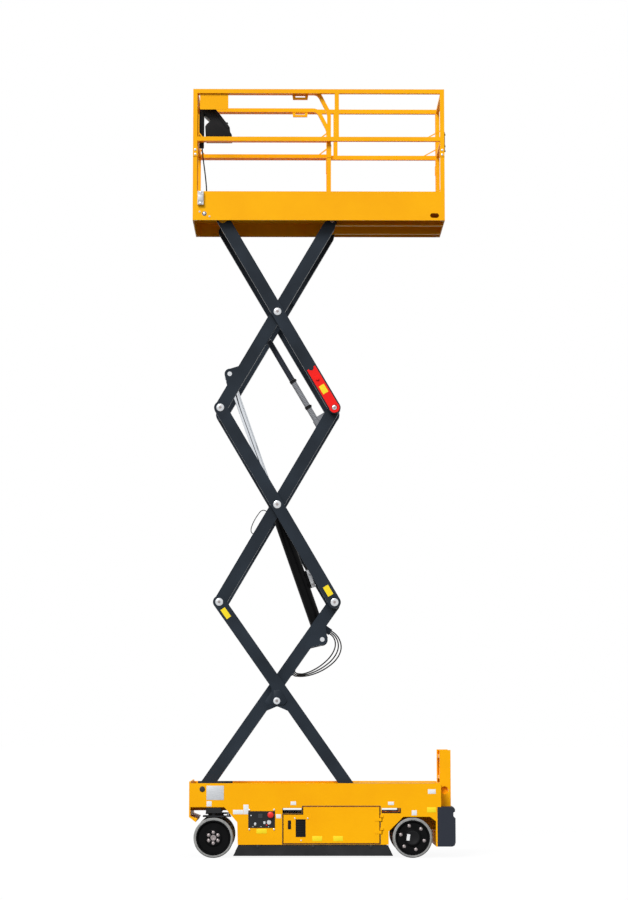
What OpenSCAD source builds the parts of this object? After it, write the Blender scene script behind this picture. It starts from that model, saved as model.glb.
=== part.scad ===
/* [Chassis] */
// Length of the chassis over the front bumper and the rear cover
chassis_l = 2310; // [2250:10:2400]
// Height of the side plates' top edge above the ground
chassis_top = 640; // [620:5:670]
// Height of the upper side band's lower edge
band_z = 436; // [430:2:446]
// Height of the chassis floor pan's underside
pan_z = 113; // [105:1:120]
// Thickness of the side plates
side_t = 10; // [8:1:14]
// Thickness of the floors, walls and beams
plate_t = 10; // [6:1:14]
// Height of the front bumper above the side plates
bumper_rise = 14; // [0:1:30]
// Length of the rear cover
cover_l = 157; // [140:1:170]

/* [Wheels] */
// Diameter over the tyres
wheel_d = 344; // [330:2:348]
// Width of a tyre
tyre_w = 112; // [90:2:116]
// Radial thickness of the rubber
tyre_t = 21; // [16:1:28]
// Distance from the rear cover's face to the rear axle
rear_in = 373; // [368:1:380]
// Distance from the bumper's face to the front axle
front_in = 212; // [208:1:222]
// Diameter of a wheel spindle
spindle_d = 50; // [40:1:60]
// Length of a steering arm
steer_arm_l = 130; // [122:1:136]

/* [Scissor] */
// Distance from a centre pin to an elbow pin
arm_half = 1000; // [985:1:1005]
// Distance from the top centre pin to a platform pin
arm_top = 970; // [950:1:980]
// Height of an arm tube
arm_h = 110; // [100:2:112]
// Width of an arm tube
arm_t = 50; // [40:1:52]
// Gap between neighbouring arm tubes
arm_gap = 8; // [7:0.5:10]
// Drop of the lowest centre pin below its tubes' centre lines
low_drop = 83; // [78:1:88]
// Angle of the upper arms above the horizontal
lift_angle = 59.6; // [54:0.2:62]
// Diameter of the pins
pin_d = 40; // [34:1:44]
// Diameter of the domed pin heads
head_d = 68; // [60:1:74]
// Half of the clear width between the innermost arms
corridor = 146; // [144:1:152]
// Height of the lowest pivots above the ground
pivot_z = 584; // [580:1:590]
// Distance from the bumper's face to the fixed lower pivot
pivot_in = 117; // [112:1:124]

/* [Lift cylinder] */
// Outer diameter of the barrel
barrel_d = 112; // [96:2:116]
// Diameter of the chromed rod
rod_d = 62; // [50:1:70]
// Length of the barrel from its eye
barrel_l = 1290; // [1250:5:1310]

/* [Platform] */
// Length of the platform
deck_l = 2250; // [2230:5:2270]
// Overhang of the platform in front of its pivot
deck_in = 267; // [255:1:280]
// Half of the platform's width over the side skirts
deck_half = 380; // [372:1:390]
// Height of the side skirts
skirt_h = 262; // [250:2:280]
// Height of the skirts' lower edge below the platform pivot
skirt_drop = 24; // [15:1:35]
// Height of the floor's upper face above the platform pivot
floor_up = 122; // [116:1:130]
// Height of the top rail above the floor
rail_up = 1050; // [1000:10:1100]
// Drop of the middle rail below the top rail
mid_drop = 436; // [420:2:450]
// Side of the square rail tubes
rail_t = 38; // [32:1:40]
// Width of the entry gate
gate_w = 624; // [610:2:632]

/* [Hidden] */
$fn = 48;

yellow = "#ffb400";
slate = "#2c343d";
black = "#1b1c1e";
steel = "#c3c7cb";
rubber = "#b9bbb9";

// Clearances
fit = 0.05;
skin_gap = 5;
run_gap = 1;

// Scissor geometry, all angles in degrees
drop_angle = asin(low_drop / arm_half);
tube_half = arm_half * cos(drop_angle);
low_angle = lift_angle - drop_angle;
arm_pitch = arm_t + arm_gap;
inner1_y = corridor;
inner2_y = corridor + arm_pitch;
outer2_y = corridor + 2 * arm_pitch;
outer1_y = corridor + 3 * arm_pitch;
stack_y = outer1_y + arm_t;
slide_room = 22;
side_in = stack_y + slide_room;
side_out = side_in + side_t;

// Pin places, seen from the near side as [x, z]
function along(p, d, a) = p + d * [cos(a), sin(a)];
front_x = -chassis_l / 2;
rear_x = chassis_l / 2;
pin_bl = [front_x + pivot_in, pivot_z];
pin_c1 = along(pin_bl, arm_half, low_angle - drop_angle);
pin_br = [2 * pin_c1.x - pin_bl.x, pivot_z];
pin_k1r = along(pin_c1, arm_half, lift_angle);
pin_k1l = [2 * pin_c1.x - pin_k1r.x, pin_k1r.y];
pin_c2 = along(pin_k1l, arm_half, lift_angle);
pin_k2r = along(pin_c2, arm_half, lift_angle);
pin_k2l = [pin_k1l.x, pin_k2r.y];
pin_c3 = along(pin_k2l, arm_half, lift_angle);
pin_tr = along(pin_c3, arm_top, lift_angle);
pin_tl = [2 * pin_c3.x - pin_tr.x, pin_tr.y];
head_t = 11;
thin_head_t = 5;

// Side-view outline drawn in x and z, given the depth from y0 to y0 + t
module slab(y0, t) {
    translate([0, y0 + t, 0])
        rotate([90, 0, 0])
            linear_extrude(t)
                children();
}

// The same piece on the near and on the far side
module both_sides() {
    children();
    mirror([0, 1, 0])
        children();
}

// A round bar along y at a side-view place
module cross_bar(p, y0, y1, d) {
    translate([p.x, y0, p.y])
        rotate([-90, 0, 0])
            cylinder(h = y1 - y0, d = d);
}

// A box between two corners
module block(a, b) {
    translate(a)
        cube(b - a);
}

// Chassis
axle_f = front_x + front_in;
axle_r = rear_x - rear_in;
wheel_r = wheel_d / 2;
wheel_y = side_out - tyre_w / 2;
bumper_t = 12;
skin_x0 = front_x + bumper_t;
skin_x1 = rear_x - 125;
cover_x0 = rear_x - cover_l;
cover_z = pan_z - 17;
trough_z = band_z - 6;
body_x0 = axle_f + wheel_r + 39;
body_x1 = axle_r - wheel_r - 35;
front_arch = [[axle_f + 93, band_z], [body_x0 - 5, band_z - 131], [body_x0, pan_z]];
rear_arch = [[body_x1, pan_z + 114], [axle_r - 80, band_z - 84], [axle_r + 152, band_z - 84],
    [cover_x0 - 13, band_z - 122], [cover_x0 - 13, cover_z]];
door_x0 = body_x0 + 396;
door_x1 = body_x1 - 81;
door_z0 = pan_z + 14;
door_z1 = band_z;
beam_y = 128;
tray_y = 150;
hinge_p = [door_x1 + 14, side_out];
hinge_r = 8;
hinge_h = 26;
hinge_pin_d = 8;
hinge_zs = [door_z0 + 80, door_z1 - 120];
notch = [171, 66];
pocket_l = 168;
pocket_zs = [trough_z - 48, trough_z - 2];
pocket_t = 6;
pocket_xs = [door_x0 - 9, door_x1 + 20];
lug_xs = [body_x0 + 172, (body_x0 + body_x1) / 2, body_x1 - 155];
guard_z = pan_z - 13;
guard_rod_d = 12;

module side_outline() {
    polygon(concat([[skin_x0, chassis_top], [skin_x0, band_z]], front_arch,
        [[body_x1, pan_z]], rear_arch, [[cover_x0, cover_z], [cover_x0, band_z],
        [skin_x1, band_z], [skin_x1, chassis_top]]));
}

// The tray door, notched round the fork pocket, grown by a gap
module door_outline(gap) {
    polygon([[door_x0 - gap, door_z0 - gap], [door_x1 + gap, door_z0 - gap],
        [door_x1 + gap, door_z1 + gap], [door_x0 + notch.x - gap, door_z1 + gap],
        [door_x0 + notch.x - gap, door_z1 - notch.y + gap], [door_x0 - gap, door_z1 - notch.y + gap]]);
}

module side_skin() {
    slab(side_in, side_t)
        difference() {
            side_outline();
            door_outline(skin_gap);
            for (z = hinge_zs)
                translate([door_x1, z - skin_gap])
                    square([hinge_p.x + hinge_r + skin_gap - door_x1, hinge_h + 2 * skin_gap]);
        }
}

// Fork pockets, drawn as their inner space grown by a wall
module pockets(wall, y0, y1) {
    for (x = pocket_xs)
        block([x - wall, y0, pocket_zs[0] - wall], [x + pocket_l + wall, y1, pocket_zs[1] + wall / 2]);
}

// Hinge blocks of the chassis, with the pins that the tray turns on
module hinge_pins() {
    for (z = hinge_zs)
        translate([hinge_p.x, hinge_p.y, z]) {
            translate([0, 0, 2])
                cylinder(h = hinge_h + 12, d = hinge_pin_d);
            block([1 - hinge_r, side_in - side_out + 1, hinge_h + skin_gap], [20, hinge_r, 2 * hinge_h]);
        }
}

module chassis_frame() {
    slot = [axle_r - 600, axle_r + 18];
    slot_half = 118;
    lug_t = 34;
    lug_in = corridor - 4 - lug_t;
    color(yellow)
        difference() {
            union() {
                both_sides() {
                    side_skin();
                    hinge_pins();
                    pockets(pocket_t, beam_y, side_out);
                    // Longitudinal beam, low between the trays and high over the steering
                    slab(beam_y, plate_t)
                        difference() {
                            union() {
                                translate([skin_x0, trough_z - 32])
                                    square([cover_x0 - skin_x0, 32 + 1]);
                                translate([body_x0, pan_z])
                                    square([cover_x0 - body_x0, trough_z - pan_z + 1]);
                            }
                            translate([body_x1 + plate_t, pan_z - 1])
                                square([axle_r - 95 - body_x1 - plate_t, 120]);
                            translate([axle_r + 95, pan_z - 1])
                                square([cover_x0 - axle_r, 120]);
                        }
                    // Lug for the fixed lower pivot
                    slab(lug_in, lug_t)
                        difference() {
                            union() {
                                translate(pin_bl)
                                    circle(r = 42);
                                translate([pin_bl.x - 42, trough_z])
                                    square([84, pivot_z - trough_z]);
                            }
                            translate(pin_bl)
                                circle(d = pin_d + 2 * fit);
                        }
                    // Hinge lugs for the pothole guard
                    for (x = lug_xs)
                        difference() {
                            block([x - 7, side_in - 12, guard_z - 11], [x + 7, side_out, pan_z + 1]);
                            translate([x - 8, side_in, guard_z])
                                rotate([0, 90, 0])
                                    cylinder(h = 16, d = guard_rod_d + 2 * fit);
                        }
                }
                // Trough floor, floor pan and bulkheads
                block([skin_x0, -side_in, trough_z], [skin_x1, side_in, trough_z + plate_t]);
                block([body_x0, -side_in, pan_z], [body_x1, side_in, pan_z + plate_t]);
                block([body_x0, -side_in, pan_z], [body_x0 + plate_t, side_in, trough_z + 1]);
                block([body_x1 - plate_t, -side_in, pan_z], [body_x1, side_in, trough_z + 1]);
                block([cover_x0 - plate_t, -side_in, cover_z], [cover_x0, side_in, trough_z + 1]);
                block([skin_x1 - plate_t, -side_in, trough_z], [skin_x1, side_in, chassis_top]);
            }
            pockets(0, -side_out - 1, side_out + 1);
            // Slot for the cylinder bracket and its hoses
            block([slot[0], -slot_half, pan_z + plate_t + 30], [slot[1], slot_half, trough_z + plate_t + 1]);
        }
}

lash_r = 15;

module front_bumper() {
    top = chassis_top + bumper_rise;
    lip_z = band_z - 78;
    lip_l = 73;
    lash = [300, pivot_z - 24];
    color(yellow)
        difference() {
            slab(-side_out, 2 * side_out)
                polygon([[front_x, top], [skin_x0, top], [skin_x0, lip_z], [front_x + lip_l, lip_z - 22],
                    [front_x + lip_l - 15, lip_z - 52], [front_x, lip_z - 8]]);
            // Lashing holes
            both_sides()
                translate([front_x - 1, lash[0], lash[1]])
                    rotate([0, 90, 0])
                        cylinder(h = bumper_t + 2, r = lash_r);
        }
}

module rear_cover() {
    bulge = 18;
    color(black)
        difference() {
            slab(-side_out + 2, 2 * side_out - 4)
                polygon([[cover_x0, cover_z], [rear_x - 30, cover_z], [rear_x - 8, cover_z + 10],
                    [rear_x, cover_z + 36], [rear_x, band_z - 98], [rear_x - bulge, band_z - 78],
                    [rear_x - bulge, band_z - 48], [rear_x - 4, band_z - 40], [rear_x - 4, band_z - 18],
                    [rear_x - bulge, band_z], [skin_x1 + 0.3, band_z], [skin_x1 + 0.3, band_z - 0.3],
                    [cover_x0, band_z - 0.3]]);
            block([rear_x - 40, -220, 200], [rear_x + 1, 220, 300]);
            block([cover_x0 - 1, -side_in - 0.3, trough_z - 0.3], [skin_x1 + 0.3, side_in + 0.3, band_z + 1]);
        }
}

module ladder() {
    stile_y = 190;
    stile_t = 40;
    x0 = skin_x1;
    x1 = skin_x1 + 96;
    top = chassis_top + 284;
    foot = band_z + 0.3;
    rungs = [band_z + 40, chassis_top + 30, top - 70];
    hole_d = 68;
    color(yellow) {
        both_sides()
            difference() {
                block([x0, stile_y, foot], [x1, stile_y + stile_t, top]);
                block([x0 + 6, stile_y - 1, foot + 8], [x1 - 6, stile_y + stile_t - 6, top - 8]);
                cross_bar([x0 + 40, pivot_z - 9], stile_y + 1, stile_y + stile_t + 1, hole_d);
            }
        for (z = rungs)
            block([x0 + 6, -stile_y - stile_t + 6, z], [x1 - 6, stile_y + stile_t - 6, z + 28]);
    }
}

module ground_panel() {
    x0 = body_x0 + 91;
    x1 = x0 + 231;
    z1 = band_z - 35;
    z0 = z1 - 144;
    t = 2;
    knob_t = 6;
    color(black) {
        block([x0, -side_out - t, z0], [x1, -side_out, z1]);
        cross_bar([x1 - 38, z1 - 32], -side_out - t - knob_t, -side_out - t, 38);
        cross_bar([x1 - 52, z1 - 96], -side_out - t - knob_t / 2, -side_out - t, 26);
    }
}

block_h = 50;
block_l = 80;
block_t = 14;
track_x0 = pin_br.x - block_l / 2 - 20;

module slide_tracks() {
    rail_h = 14;
    rail_y = stack_y + 4;
    color(steel)
        both_sides()
            for (z = [pivot_z + block_h / 2 + run_gap, pivot_z - block_h / 2 - run_gap - rail_h])
                block([track_x0, rail_y, z], [skin_x1 - plate_t, side_in, z + rail_h]);
}

// Steering and axles
king_d = 48;
king_z = wheel_d + 6;
cap_t = 12;
rod_gap = 2;
tie_d = 18;
beam_z0 = king_z + cap_t + tie_d + 2 * rod_gap;
king_xs = [-1, 1];

module front_axle() {
    color(black)
        difference() {
            block([axle_f - 66, -side_in, beam_z0], [axle_f + 66, side_in, trough_z]);
            both_sides()
                translate([axle_f, wheel_y, beam_z0 - 1])
                    cylinder(h = trough_z, d = king_d + 2 * fit);
            both_sides()
                block([axle_f - 67, beam_y - 0.3, beam_z0 - 1],
                    [axle_f + 67, beam_y + plate_t + 0.3, trough_z + 1]);
        }
}

module knuckle() {
    in_y = wheel_y - tyre_w / 2 - 12;
    arm_w = 44;
    color(black) {
        // Cap over the wheel, with the kingpin and the steering arm
        difference() {
            union() {
                block([axle_f - 92, in_y - 22, king_z], [axle_f + 92, side_out, king_z + cap_t]);
                block([axle_f, wheel_y - arm_w / 2, king_z], [axle_f + steer_arm_l, wheel_y + arm_w / 2,
                    king_z + cap_t]);
                translate([axle_f + steer_arm_l, wheel_y, king_z])
                    cylinder(h = cap_t, d = arm_w);
            }
            translate([axle_f + steer_arm_l, wheel_y, king_z - 1])
                cylinder(h = cap_t + 2, d = tie_d + 2 * fit);
        }
        translate([axle_f, wheel_y, king_z])
            cylinder(h = beam_z0 - king_z, d = king_d + 8);
        translate([axle_f, wheel_y, king_z])
            cylinder(h = trough_z - king_z - 0.5, d = king_d);
        // Down arm and spindle
        slab(in_y - 22, 22)
            polygon([[axle_f - 70, king_z + 1], [axle_f + 70, king_z + 1], [axle_f + 48, wheel_r - 60],
                [axle_f - 48, wheel_r - 60]]);
        cross_bar([axle_f, wheel_r], in_y - 1, side_out - 14, spindle_d);
    }
}

module knuckle_far() { knuckle(); }
module knuckle_near() { mirror([0, 1, 0]) knuckle(); }

module tie_rod() {
    x = axle_f + steer_arm_l;
    z = king_z + cap_t + rod_gap + tie_d / 2;
    boss_d = 30;
    color(steel) {
        cross_bar([x, z], 4 - wheel_y, wheel_y - 4, tie_d - 2);
        both_sides() {
            translate([x, wheel_y, king_z + 1])
                cylinder(h = cap_t, d = tie_d);
            translate([x, wheel_y, king_z + cap_t + 0.5])
                cylinder(h = tie_d + rod_gap - 0.5, d = boss_d);
        }
    }
}

module rear_axle() {
    in_y = wheel_y - tyre_w / 2 - 12;
    hub_y = beam_y + plate_t;
    color(black)
        both_sides() {
            cross_bar([axle_r, wheel_r], hub_y, in_y, 150);
            cross_bar([axle_r, wheel_r], in_y - 1, side_out - 14, spindle_d);
        }
}

// A solid rubber tyre centred on x = place, its outer face at side_out
module tyre(place) {
    r0 = wheel_r - tyre_t;
    edge = 8;
    w = tyre_w / 2;
    color(rubber)
        translate([place, wheel_y, wheel_r])
            rotate([90, 0, 0])
                rotate_extrude($fn = 96)
                    polygon([[r0, -w], [wheel_r - edge, -w], [wheel_r, -w + edge],
                        [wheel_r, w - edge], [wheel_r - edge, w], [r0, w]]);
}

// The wheel disc inside the tyre, dished, with a hub
module wheel_disc(place) {
    r0 = wheel_r - tyre_t;
    w = tyre_w / 2;
    bore = spindle_d / 2 + fit;
    color(black)
        translate([place, wheel_y, wheel_r])
            rotate([-90, 0, 0])
                rotate_extrude($fn = 96)
                    polygon([[bore, -w - 10], [58, -w - 10], [58, 0], [r0 - 14, 0], [r0 - 14, -w],
                        [r0, -w], [r0, w - 1], [r0 - 12, w - 1], [r0 - 22, w - 16], [78, w - 16],
                        [66, w - 6], [bore, w - 6]]);
}

module tyre_front_far() { tyre(axle_f); }
module tyre_rear_far() { tyre(axle_r); }
module tyre_front_near() { mirror([0, 1, 0]) tyre(axle_f); }
module tyre_rear_near() { mirror([0, 1, 0]) tyre(axle_r); }
module wheel_front_far() { wheel_disc(axle_f); }
module wheel_rear_far() { wheel_disc(axle_r); }
module wheel_front_near() { mirror([0, 1, 0]) wheel_disc(axle_f); }
module wheel_rear_near() { mirror([0, 1, 0]) wheel_disc(axle_r); }

// Swing-out trays
tray_x0 = door_x0 + 56;
tray_x1 = door_x1 - 16;
tray_t = 6;

module tray() {
    skin_in = side_in + 2;
    vent_in = 105;
    vent = [87, 153];
    latch_in = 37;
    latch = [29, 77];
    color(yellow) {
        difference() {
            slab(skin_in, side_out - skin_in)
                difference() {
                    door_outline(0);
                    translate([door_x0 + vent_in, door_z0 + 51])
                        square(vent);
                }
            block([door_x0 + latch_in, side_out - 4, door_z0 + 117],
                [door_x0 + latch_in + latch.x, side_out + 1, door_z0 + 117 + latch.y]);
        }
        block([tray_x0, tray_y, door_z0], [tray_x1, skin_in + 1, door_z0 + tray_t]);
        block([tray_x0, tray_y, door_z0], [tray_x1, tray_y + tray_t, door_z0 + 90]);
        block([tray_x0, tray_y, door_z0], [tray_x0 + tray_t, skin_in + 1, door_z0 + 90]);
        block([tray_x1 - tray_t, tray_y, door_z0], [tray_x1, skin_in + 1, door_z0 + 90]);
        for (z = hinge_zs)
            difference() {
                union() {
                    translate([hinge_p.x, hinge_p.y, z])
                        cylinder(h = hinge_h, r = hinge_r);
                    block([door_x1 - 40, side_out - 1, z], [hinge_p.x, side_out + 3, z + hinge_h]);
                }
                translate([hinge_p.x, hinge_p.y, z - 1])
                    cylinder(h = hinge_h + 2, d = hinge_pin_d + 2 * fit);
            }
    }
}

module tray_far() { tray(); }
module tray_near() { mirror([0, 1, 0]) tray(); }

module tray_load(top) {
    gap = 8;
    block([tray_x0 + tray_t + gap, tray_y + tray_t + gap, door_z0 + tray_t],
        [tray_x1 - tray_t - gap, side_in - 30, top]);
}

module battery_pack() { color(black) mirror([0, 1, 0]) tray_load(door_z1 - 90); }
module power_unit() { color(steel) tray_load(door_z1 - 72); }

// Pothole guards
module guard() {
    guard_t = 12;
    foot = 17;
    y0 = side_in - guard_t / 2;
    color(black)
        difference() {
            union() {
                slab(y0, guard_t)
                    polygon([[body_x0 + 2, guard_z], [body_x1 - 2, guard_z], [body_x1 + 38, foot],
                        [body_x0 - 40, foot]]);
                translate([body_x0 + 2, side_in, guard_z])
                    rotate([0, 90, 0])
                        cylinder(h = body_x1 - body_x0 - 4, d = guard_t + 4);
            }
            for (x = lug_xs)
                difference() {
                    block([x - 8, side_in - 30, guard_z - 18], [x + 8, side_out + 20, pan_z + 2]);
                    translate([x - 9, side_in, guard_z])
                        rotate([0, 90, 0])
                            cylinder(h = 18, d = guard_rod_d);
                }
        }
}

module guard_far() { guard(); }
module guard_near() { mirror([0, 1, 0]) guard(); }

// Scissor arms
lug_r = 46;
cyl_low_s = 325;
cyl_low_off = 98;
cyl_up_s = 308;
cyl_up_off = 87;
cyl_low = along(along(pin_k1r, -cyl_low_s, low_angle), cyl_low_off, low_angle - 90);
cyl_up = along(along(pin_k2l, cyl_up_s, lift_angle), cyl_up_off, lift_angle + 90);
cyl_line = cyl_up - cyl_low;
cyl_len = norm(cyl_line);
cyl_angle = atan2(cyl_line.y, cyl_line.x);

// Outline of a tube with round ends from its lower pin along x, its upper end drawn in to a tip
module tube_outline(l, tip) {
    taper = 60;
    translate([0, -arm_h / 2])
        square([l - taper, arm_h]);
    circle(d = arm_h);
    polygon([[l - taper, -arm_h / 2], [l, -tip / 2], [l, tip / 2], [l - taper, arm_h / 2]]);
    translate([l, 0])
        circle(d = tip);
}

// Bracket from the tube's edge out to a pin at [s, off]
module lug_outline(s, off, spread) {
    edge = sign(off) * (arm_h / 2 - 5);
    tip = off + sign(off) * lug_r * 0.5;
    polygon([[s - spread, edge], [s + spread, edge], [s + lug_r * 0.87, tip], [s - lug_r * 0.87, tip]]);
    translate([s, off])
        circle(r = lug_r);
}

// One pair of arms, near and far, standing on a lower pin at an angle, bored at local places
module arm_pair(p, a, y0, l, bores, tip = arm_h) {
    both_sides()
        slab(y0, arm_t)
            translate(p)
                rotate(a)
                    difference() {
                        union() {
                            tube_outline(l, tip);
                            children();
                        }
                        for (b = bores)
                            translate(b)
                                circle(d = pin_d + 2 * fit);
                    }
}

low_mid = [tube_half, -low_drop];
brace_d = 44;

// Hose blocks as [distance along the arm, lower face, upper face]
hose_y0 = 70;
hose_block_l = 56;
hose_blocks = [[2 * tube_half - 250, -119, -25], [2 * tube_half - 736, -61, -20]];

// Into an arm's own frame, x along the arm from its lower pin and z across it
module on_arm(p, a) {
    translate([p.x, 0, p.y])
        rotate([0, -a, 0])
            children();
}

module lower_inner_arms() {
    gusset = [2 * tube_half - cyl_low_s, -cyl_low_off];
    color(slate) {
        arm_pair(pin_bl, low_angle, inner1_y, 2 * tube_half,
            [[0, 0], low_mid, gusset, [2 * tube_half, 0]]) {
                lug_outline(low_mid.x, low_mid.y, 130);
                lug_outline(gusset.x, gusset.y, 120);
            }
        for (s = [260, 700])
            cross_bar(along(pin_bl, s, low_angle), -corridor, corridor, brace_d);
        // Hose blocks on the far arm
        on_arm(pin_bl, low_angle)
            for (b = hose_blocks)
                block([b.x, hose_y0, b.y], [b.x + hose_block_l, corridor + 1, b.z]);
    }
}

module lower_outer_arms() {
    color(slate)
        arm_pair(pin_br, 180 - low_angle, outer1_y, 2 * tube_half,
            [[0, 0], [low_mid.x, low_drop], [2 * tube_half, 0]])
                lug_outline(low_mid.x, low_drop, 130);
}

module mid_inner_arms() {
    color(slate)
        arm_pair(pin_k1l, lift_angle, inner2_y, 2 * arm_half,
            [[0, 0], [arm_half, 0], [2 * arm_half, 0]]);
}

module mid_outer_arms() {
    color(slate)
        arm_pair(pin_k1r, 180 - lift_angle, outer2_y, 2 * arm_half,
            [[0, 0], [arm_half, 0], [2 * arm_half, 0]]);
}

module upper_inner_arms() {
    tie_s = 1.2 * arm_half;
    top_tip = 72;
    color(slate) {
        cross_bar(along(pin_k2l, tie_s, lift_angle), -inner2_y, inner2_y, brace_d);
        arm_pair(pin_k2l, lift_angle, inner2_y, arm_half + arm_top,
            [[0, 0], [cyl_up_s, cyl_up_off], [arm_half, 0], [arm_half + arm_top, 0]], top_tip)
                lug_outline(cyl_up_s, cyl_up_off, 105);
    }
}

module upper_outer_arms() {
    color(slate)
        arm_pair(pin_k2r, 180 - lift_angle, outer2_y, arm_half + arm_top,
            [[0, 0], [arm_half, 0], [arm_half + arm_top, 0]]);
}

// A domed pin head on an arm's outer face at y
module pin_head(p, y, d, t) {
    translate([p.x, y, p.y])
        rotate([-90, 0, 0])
            rotate_extrude()
                polygon([[0, 0], [d / 2, 0], [d / 2, t * 0.45], [d * 0.42, t * 0.8], [d * 0.28, t], [0, t]]);
}

// A pin from y0 to y1 with its head outside
module head_pin(p, y0, y1, d, t) {
    cross_bar(p, y0, y1, pin_d);
    pin_head(p, y1, d, t);
}

module lower_inner_pins() {
    color(steel) {
        both_sides()
            cross_bar(pin_bl, corridor - 38, corridor + arm_t, pin_d);
        cross_bar(cyl_low, -corridor - arm_t, corridor + arm_t, pin_d);
    }
}

module lower_outer_pins() {
    color(steel) {
        cross_bar(pin_c1, -stack_y, stack_y, pin_d);
        both_sides() {
            pin_head(pin_c1, stack_y, head_d, head_t);
            head_pin(pin_k1l, inner2_y, stack_y, head_d, head_t);
            cross_bar(pin_br, outer1_y, stack_y + 2 + block_t, pin_d);
        }
    }
}

module mid_outer_pins() {
    face = outer2_y + arm_t;
    color(steel)
        both_sides() {
            head_pin(pin_k1r, inner1_y, face, head_d, thin_head_t);
            head_pin(pin_c2, inner2_y, face, head_d, thin_head_t);
            head_pin(pin_k2l, inner2_y, face, head_d, head_t);
        }
}

eye_half = 60;

module upper_inner_pins() {
    face = outer2_y + arm_t;
    color(steel) {
        both_sides() {
            head_pin(pin_c3, inner2_y, face, head_d, head_t);
            cross_bar(cyl_up, eye_half + run_gap, inner2_y + arm_t, pin_d);
            cross_bar(pin_tr, inner2_y - 2 - top_block_t, inner2_y + arm_t, pin_d);
        }
    }
}

prop_head_d = 46;

module upper_outer_pins() {
    face = outer2_y + arm_t;
    color(steel) {
        cross_bar(pin_k2r, -face, face, pin_d);
        both_sides()
            pin_head(pin_k2r, face, prop_head_d, head_t);
    }
}

bracket_t = 12;

module platform_pins() {
    color(steel)
        both_sides()
            cross_bar(pin_tl, outer2_y, outer2_y + arm_t + 2 + bracket_t, pin_d);
}

// Slide blocks
module slide_block(p, y0, t) {
    slab(y0, t)
        translate(p)
            difference() {
                square([block_l, block_h], center = true);
                circle(d = pin_d + 2 * fit);
            }
}

module lower_slide_blocks() {
    color(black)
        both_sides()
            slide_block(pin_br, stack_y + 2, block_t);
}

top_block_t = 22;

module upper_slide_blocks() {
    color(black)
        both_sides()
            slide_block(pin_tr, inner2_y - 2 - top_block_t, top_block_t);
}

// Lift cylinder, drawn along x from its lower eye and turned into place
eye_r = 50;
rod_hold = 83;
rod_l = cyl_len - barrel_l + rod_hold;

module along_cylinder() {
    translate([cyl_low.x, 0, cyl_low.y])
        rotate([0, -cyl_angle, 0])
            children();
}

module lift_barrel() {
    valve_s = 470;
    color(black)
        along_cylinder()
            difference() {
                union() {
                    cross_bar([0, 0], -eye_half, eye_half, 2 * eye_r);
                    rotate([0, 90, 0])
                        cylinder(h = barrel_l, d = barrel_d);
                    // Valve block and the gland nut at the mouth
                    block([valve_s, -28, -100], [valve_s + 160, 28, -30]);
                    translate([barrel_l - 60, 0, 0])
                        rotate([0, 90, 0])
                            cylinder(h = 60, d = barrel_d + 8);
                }
                cross_bar([0, 0], -eye_half - 1, eye_half + 1, pin_d + 2 * fit);
                translate([78, 0, 0])
                    rotate([0, 90, 0])
                        cylinder(h = barrel_l, d = rod_d + 2 * fit);
            }
}

module lift_rod() {
    color(steel)
        along_cylinder()
            difference() {
                union() {
                    translate([cyl_len - rod_l, 0, 0])
                        rotate([0, 90, 0])
                            cylinder(h = rod_l, d = rod_d);
                    cross_bar([cyl_len, 0], -eye_half, eye_half, 2 * eye_r);
                }
                cross_bar([cyl_len, 0], -eye_half - 1, eye_half + 1, pin_d + 2 * fit);
            }
}

// Red maintenance prop along the near upper outer arm
module safety_prop() {
    prop_l = 410;
    prop_w = 84;
    prop_t = 8;
    color("#d8201c")
        mirror([0, 1, 0])
            slab(outer2_y + arm_t, prop_t)
                translate(pin_k2r)
                    rotate(180 - lift_angle)
                        difference() {
                            union() {
                                circle(d = prop_w + 8);
                                translate([0, -prop_w / 2])
                                    square([prop_l, prop_w]);
                            }
                            circle(d = prop_head_d + 4);
                            translate([prop_l, 0])
                                circle(r = 24);
                        }
    // Knob that locks the prop
    color("#d8201c")
        cross_bar(along(pin_k2r, 300, 180 - lift_angle), -outer2_y - arm_t - prop_t - 12,
            -outer2_y - arm_t - prop_t + 1, 30);
}

// Cable conduit beside the upper outer arms, held by a bracket on their lower shaft
conduit_y = -100;

module cable_conduit() {
    off = 185;
    conduit_d = 48;
    conduit_l = 900;
    collar_xs = [130, 400];
    plate = 26;
    color("#8e9094")
        translate([pin_k2r.x, conduit_y, pin_k2r.y])
            rotate([0, lift_angle - 180, 0]) {
                difference() {
                    union() {
                        translate([-55, 0, off])
                            rotate([0, 90, 0])
                                cylinder(h = conduit_l, d = conduit_d);
                        translate([-55, 0, off])
                            rotate([0, 90, 0])
                                cylinder(h = 60, d = conduit_d + 14);
                        for (x = collar_xs)
                            translate([x, 0, off])
                                rotate([0, 90, 0])
                                    cylinder(h = 24, d = conduit_d + 8);
                        block([-30, -plate / 2, 0], [30, plate / 2, off]);
                        cross_bar([0, 0], -plate / 2, plate / 2, 60);
                    }
                    cross_bar([0, 0], -plate, plate, pin_d + 2 * fit);
                }
            }
}

// Platform
deck_x0 = pin_tl.x - deck_in;
deck_x1 = deck_x0 + deck_l;
floor_z = pin_tl.y + floor_up;
floor_t = 20;
skirt_z0 = pin_tl.y - skirt_drop;
skirt_t = 8;
rail_top = floor_z + rail_up;
rail_y = deck_half - rail_t;
mid_top = rail_top - mid_drop;
tread_t = 6;
ext_l = 1231;
ext_x0 = deck_x0 + 4;
ext_x1 = ext_x0 + ext_l;

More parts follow.
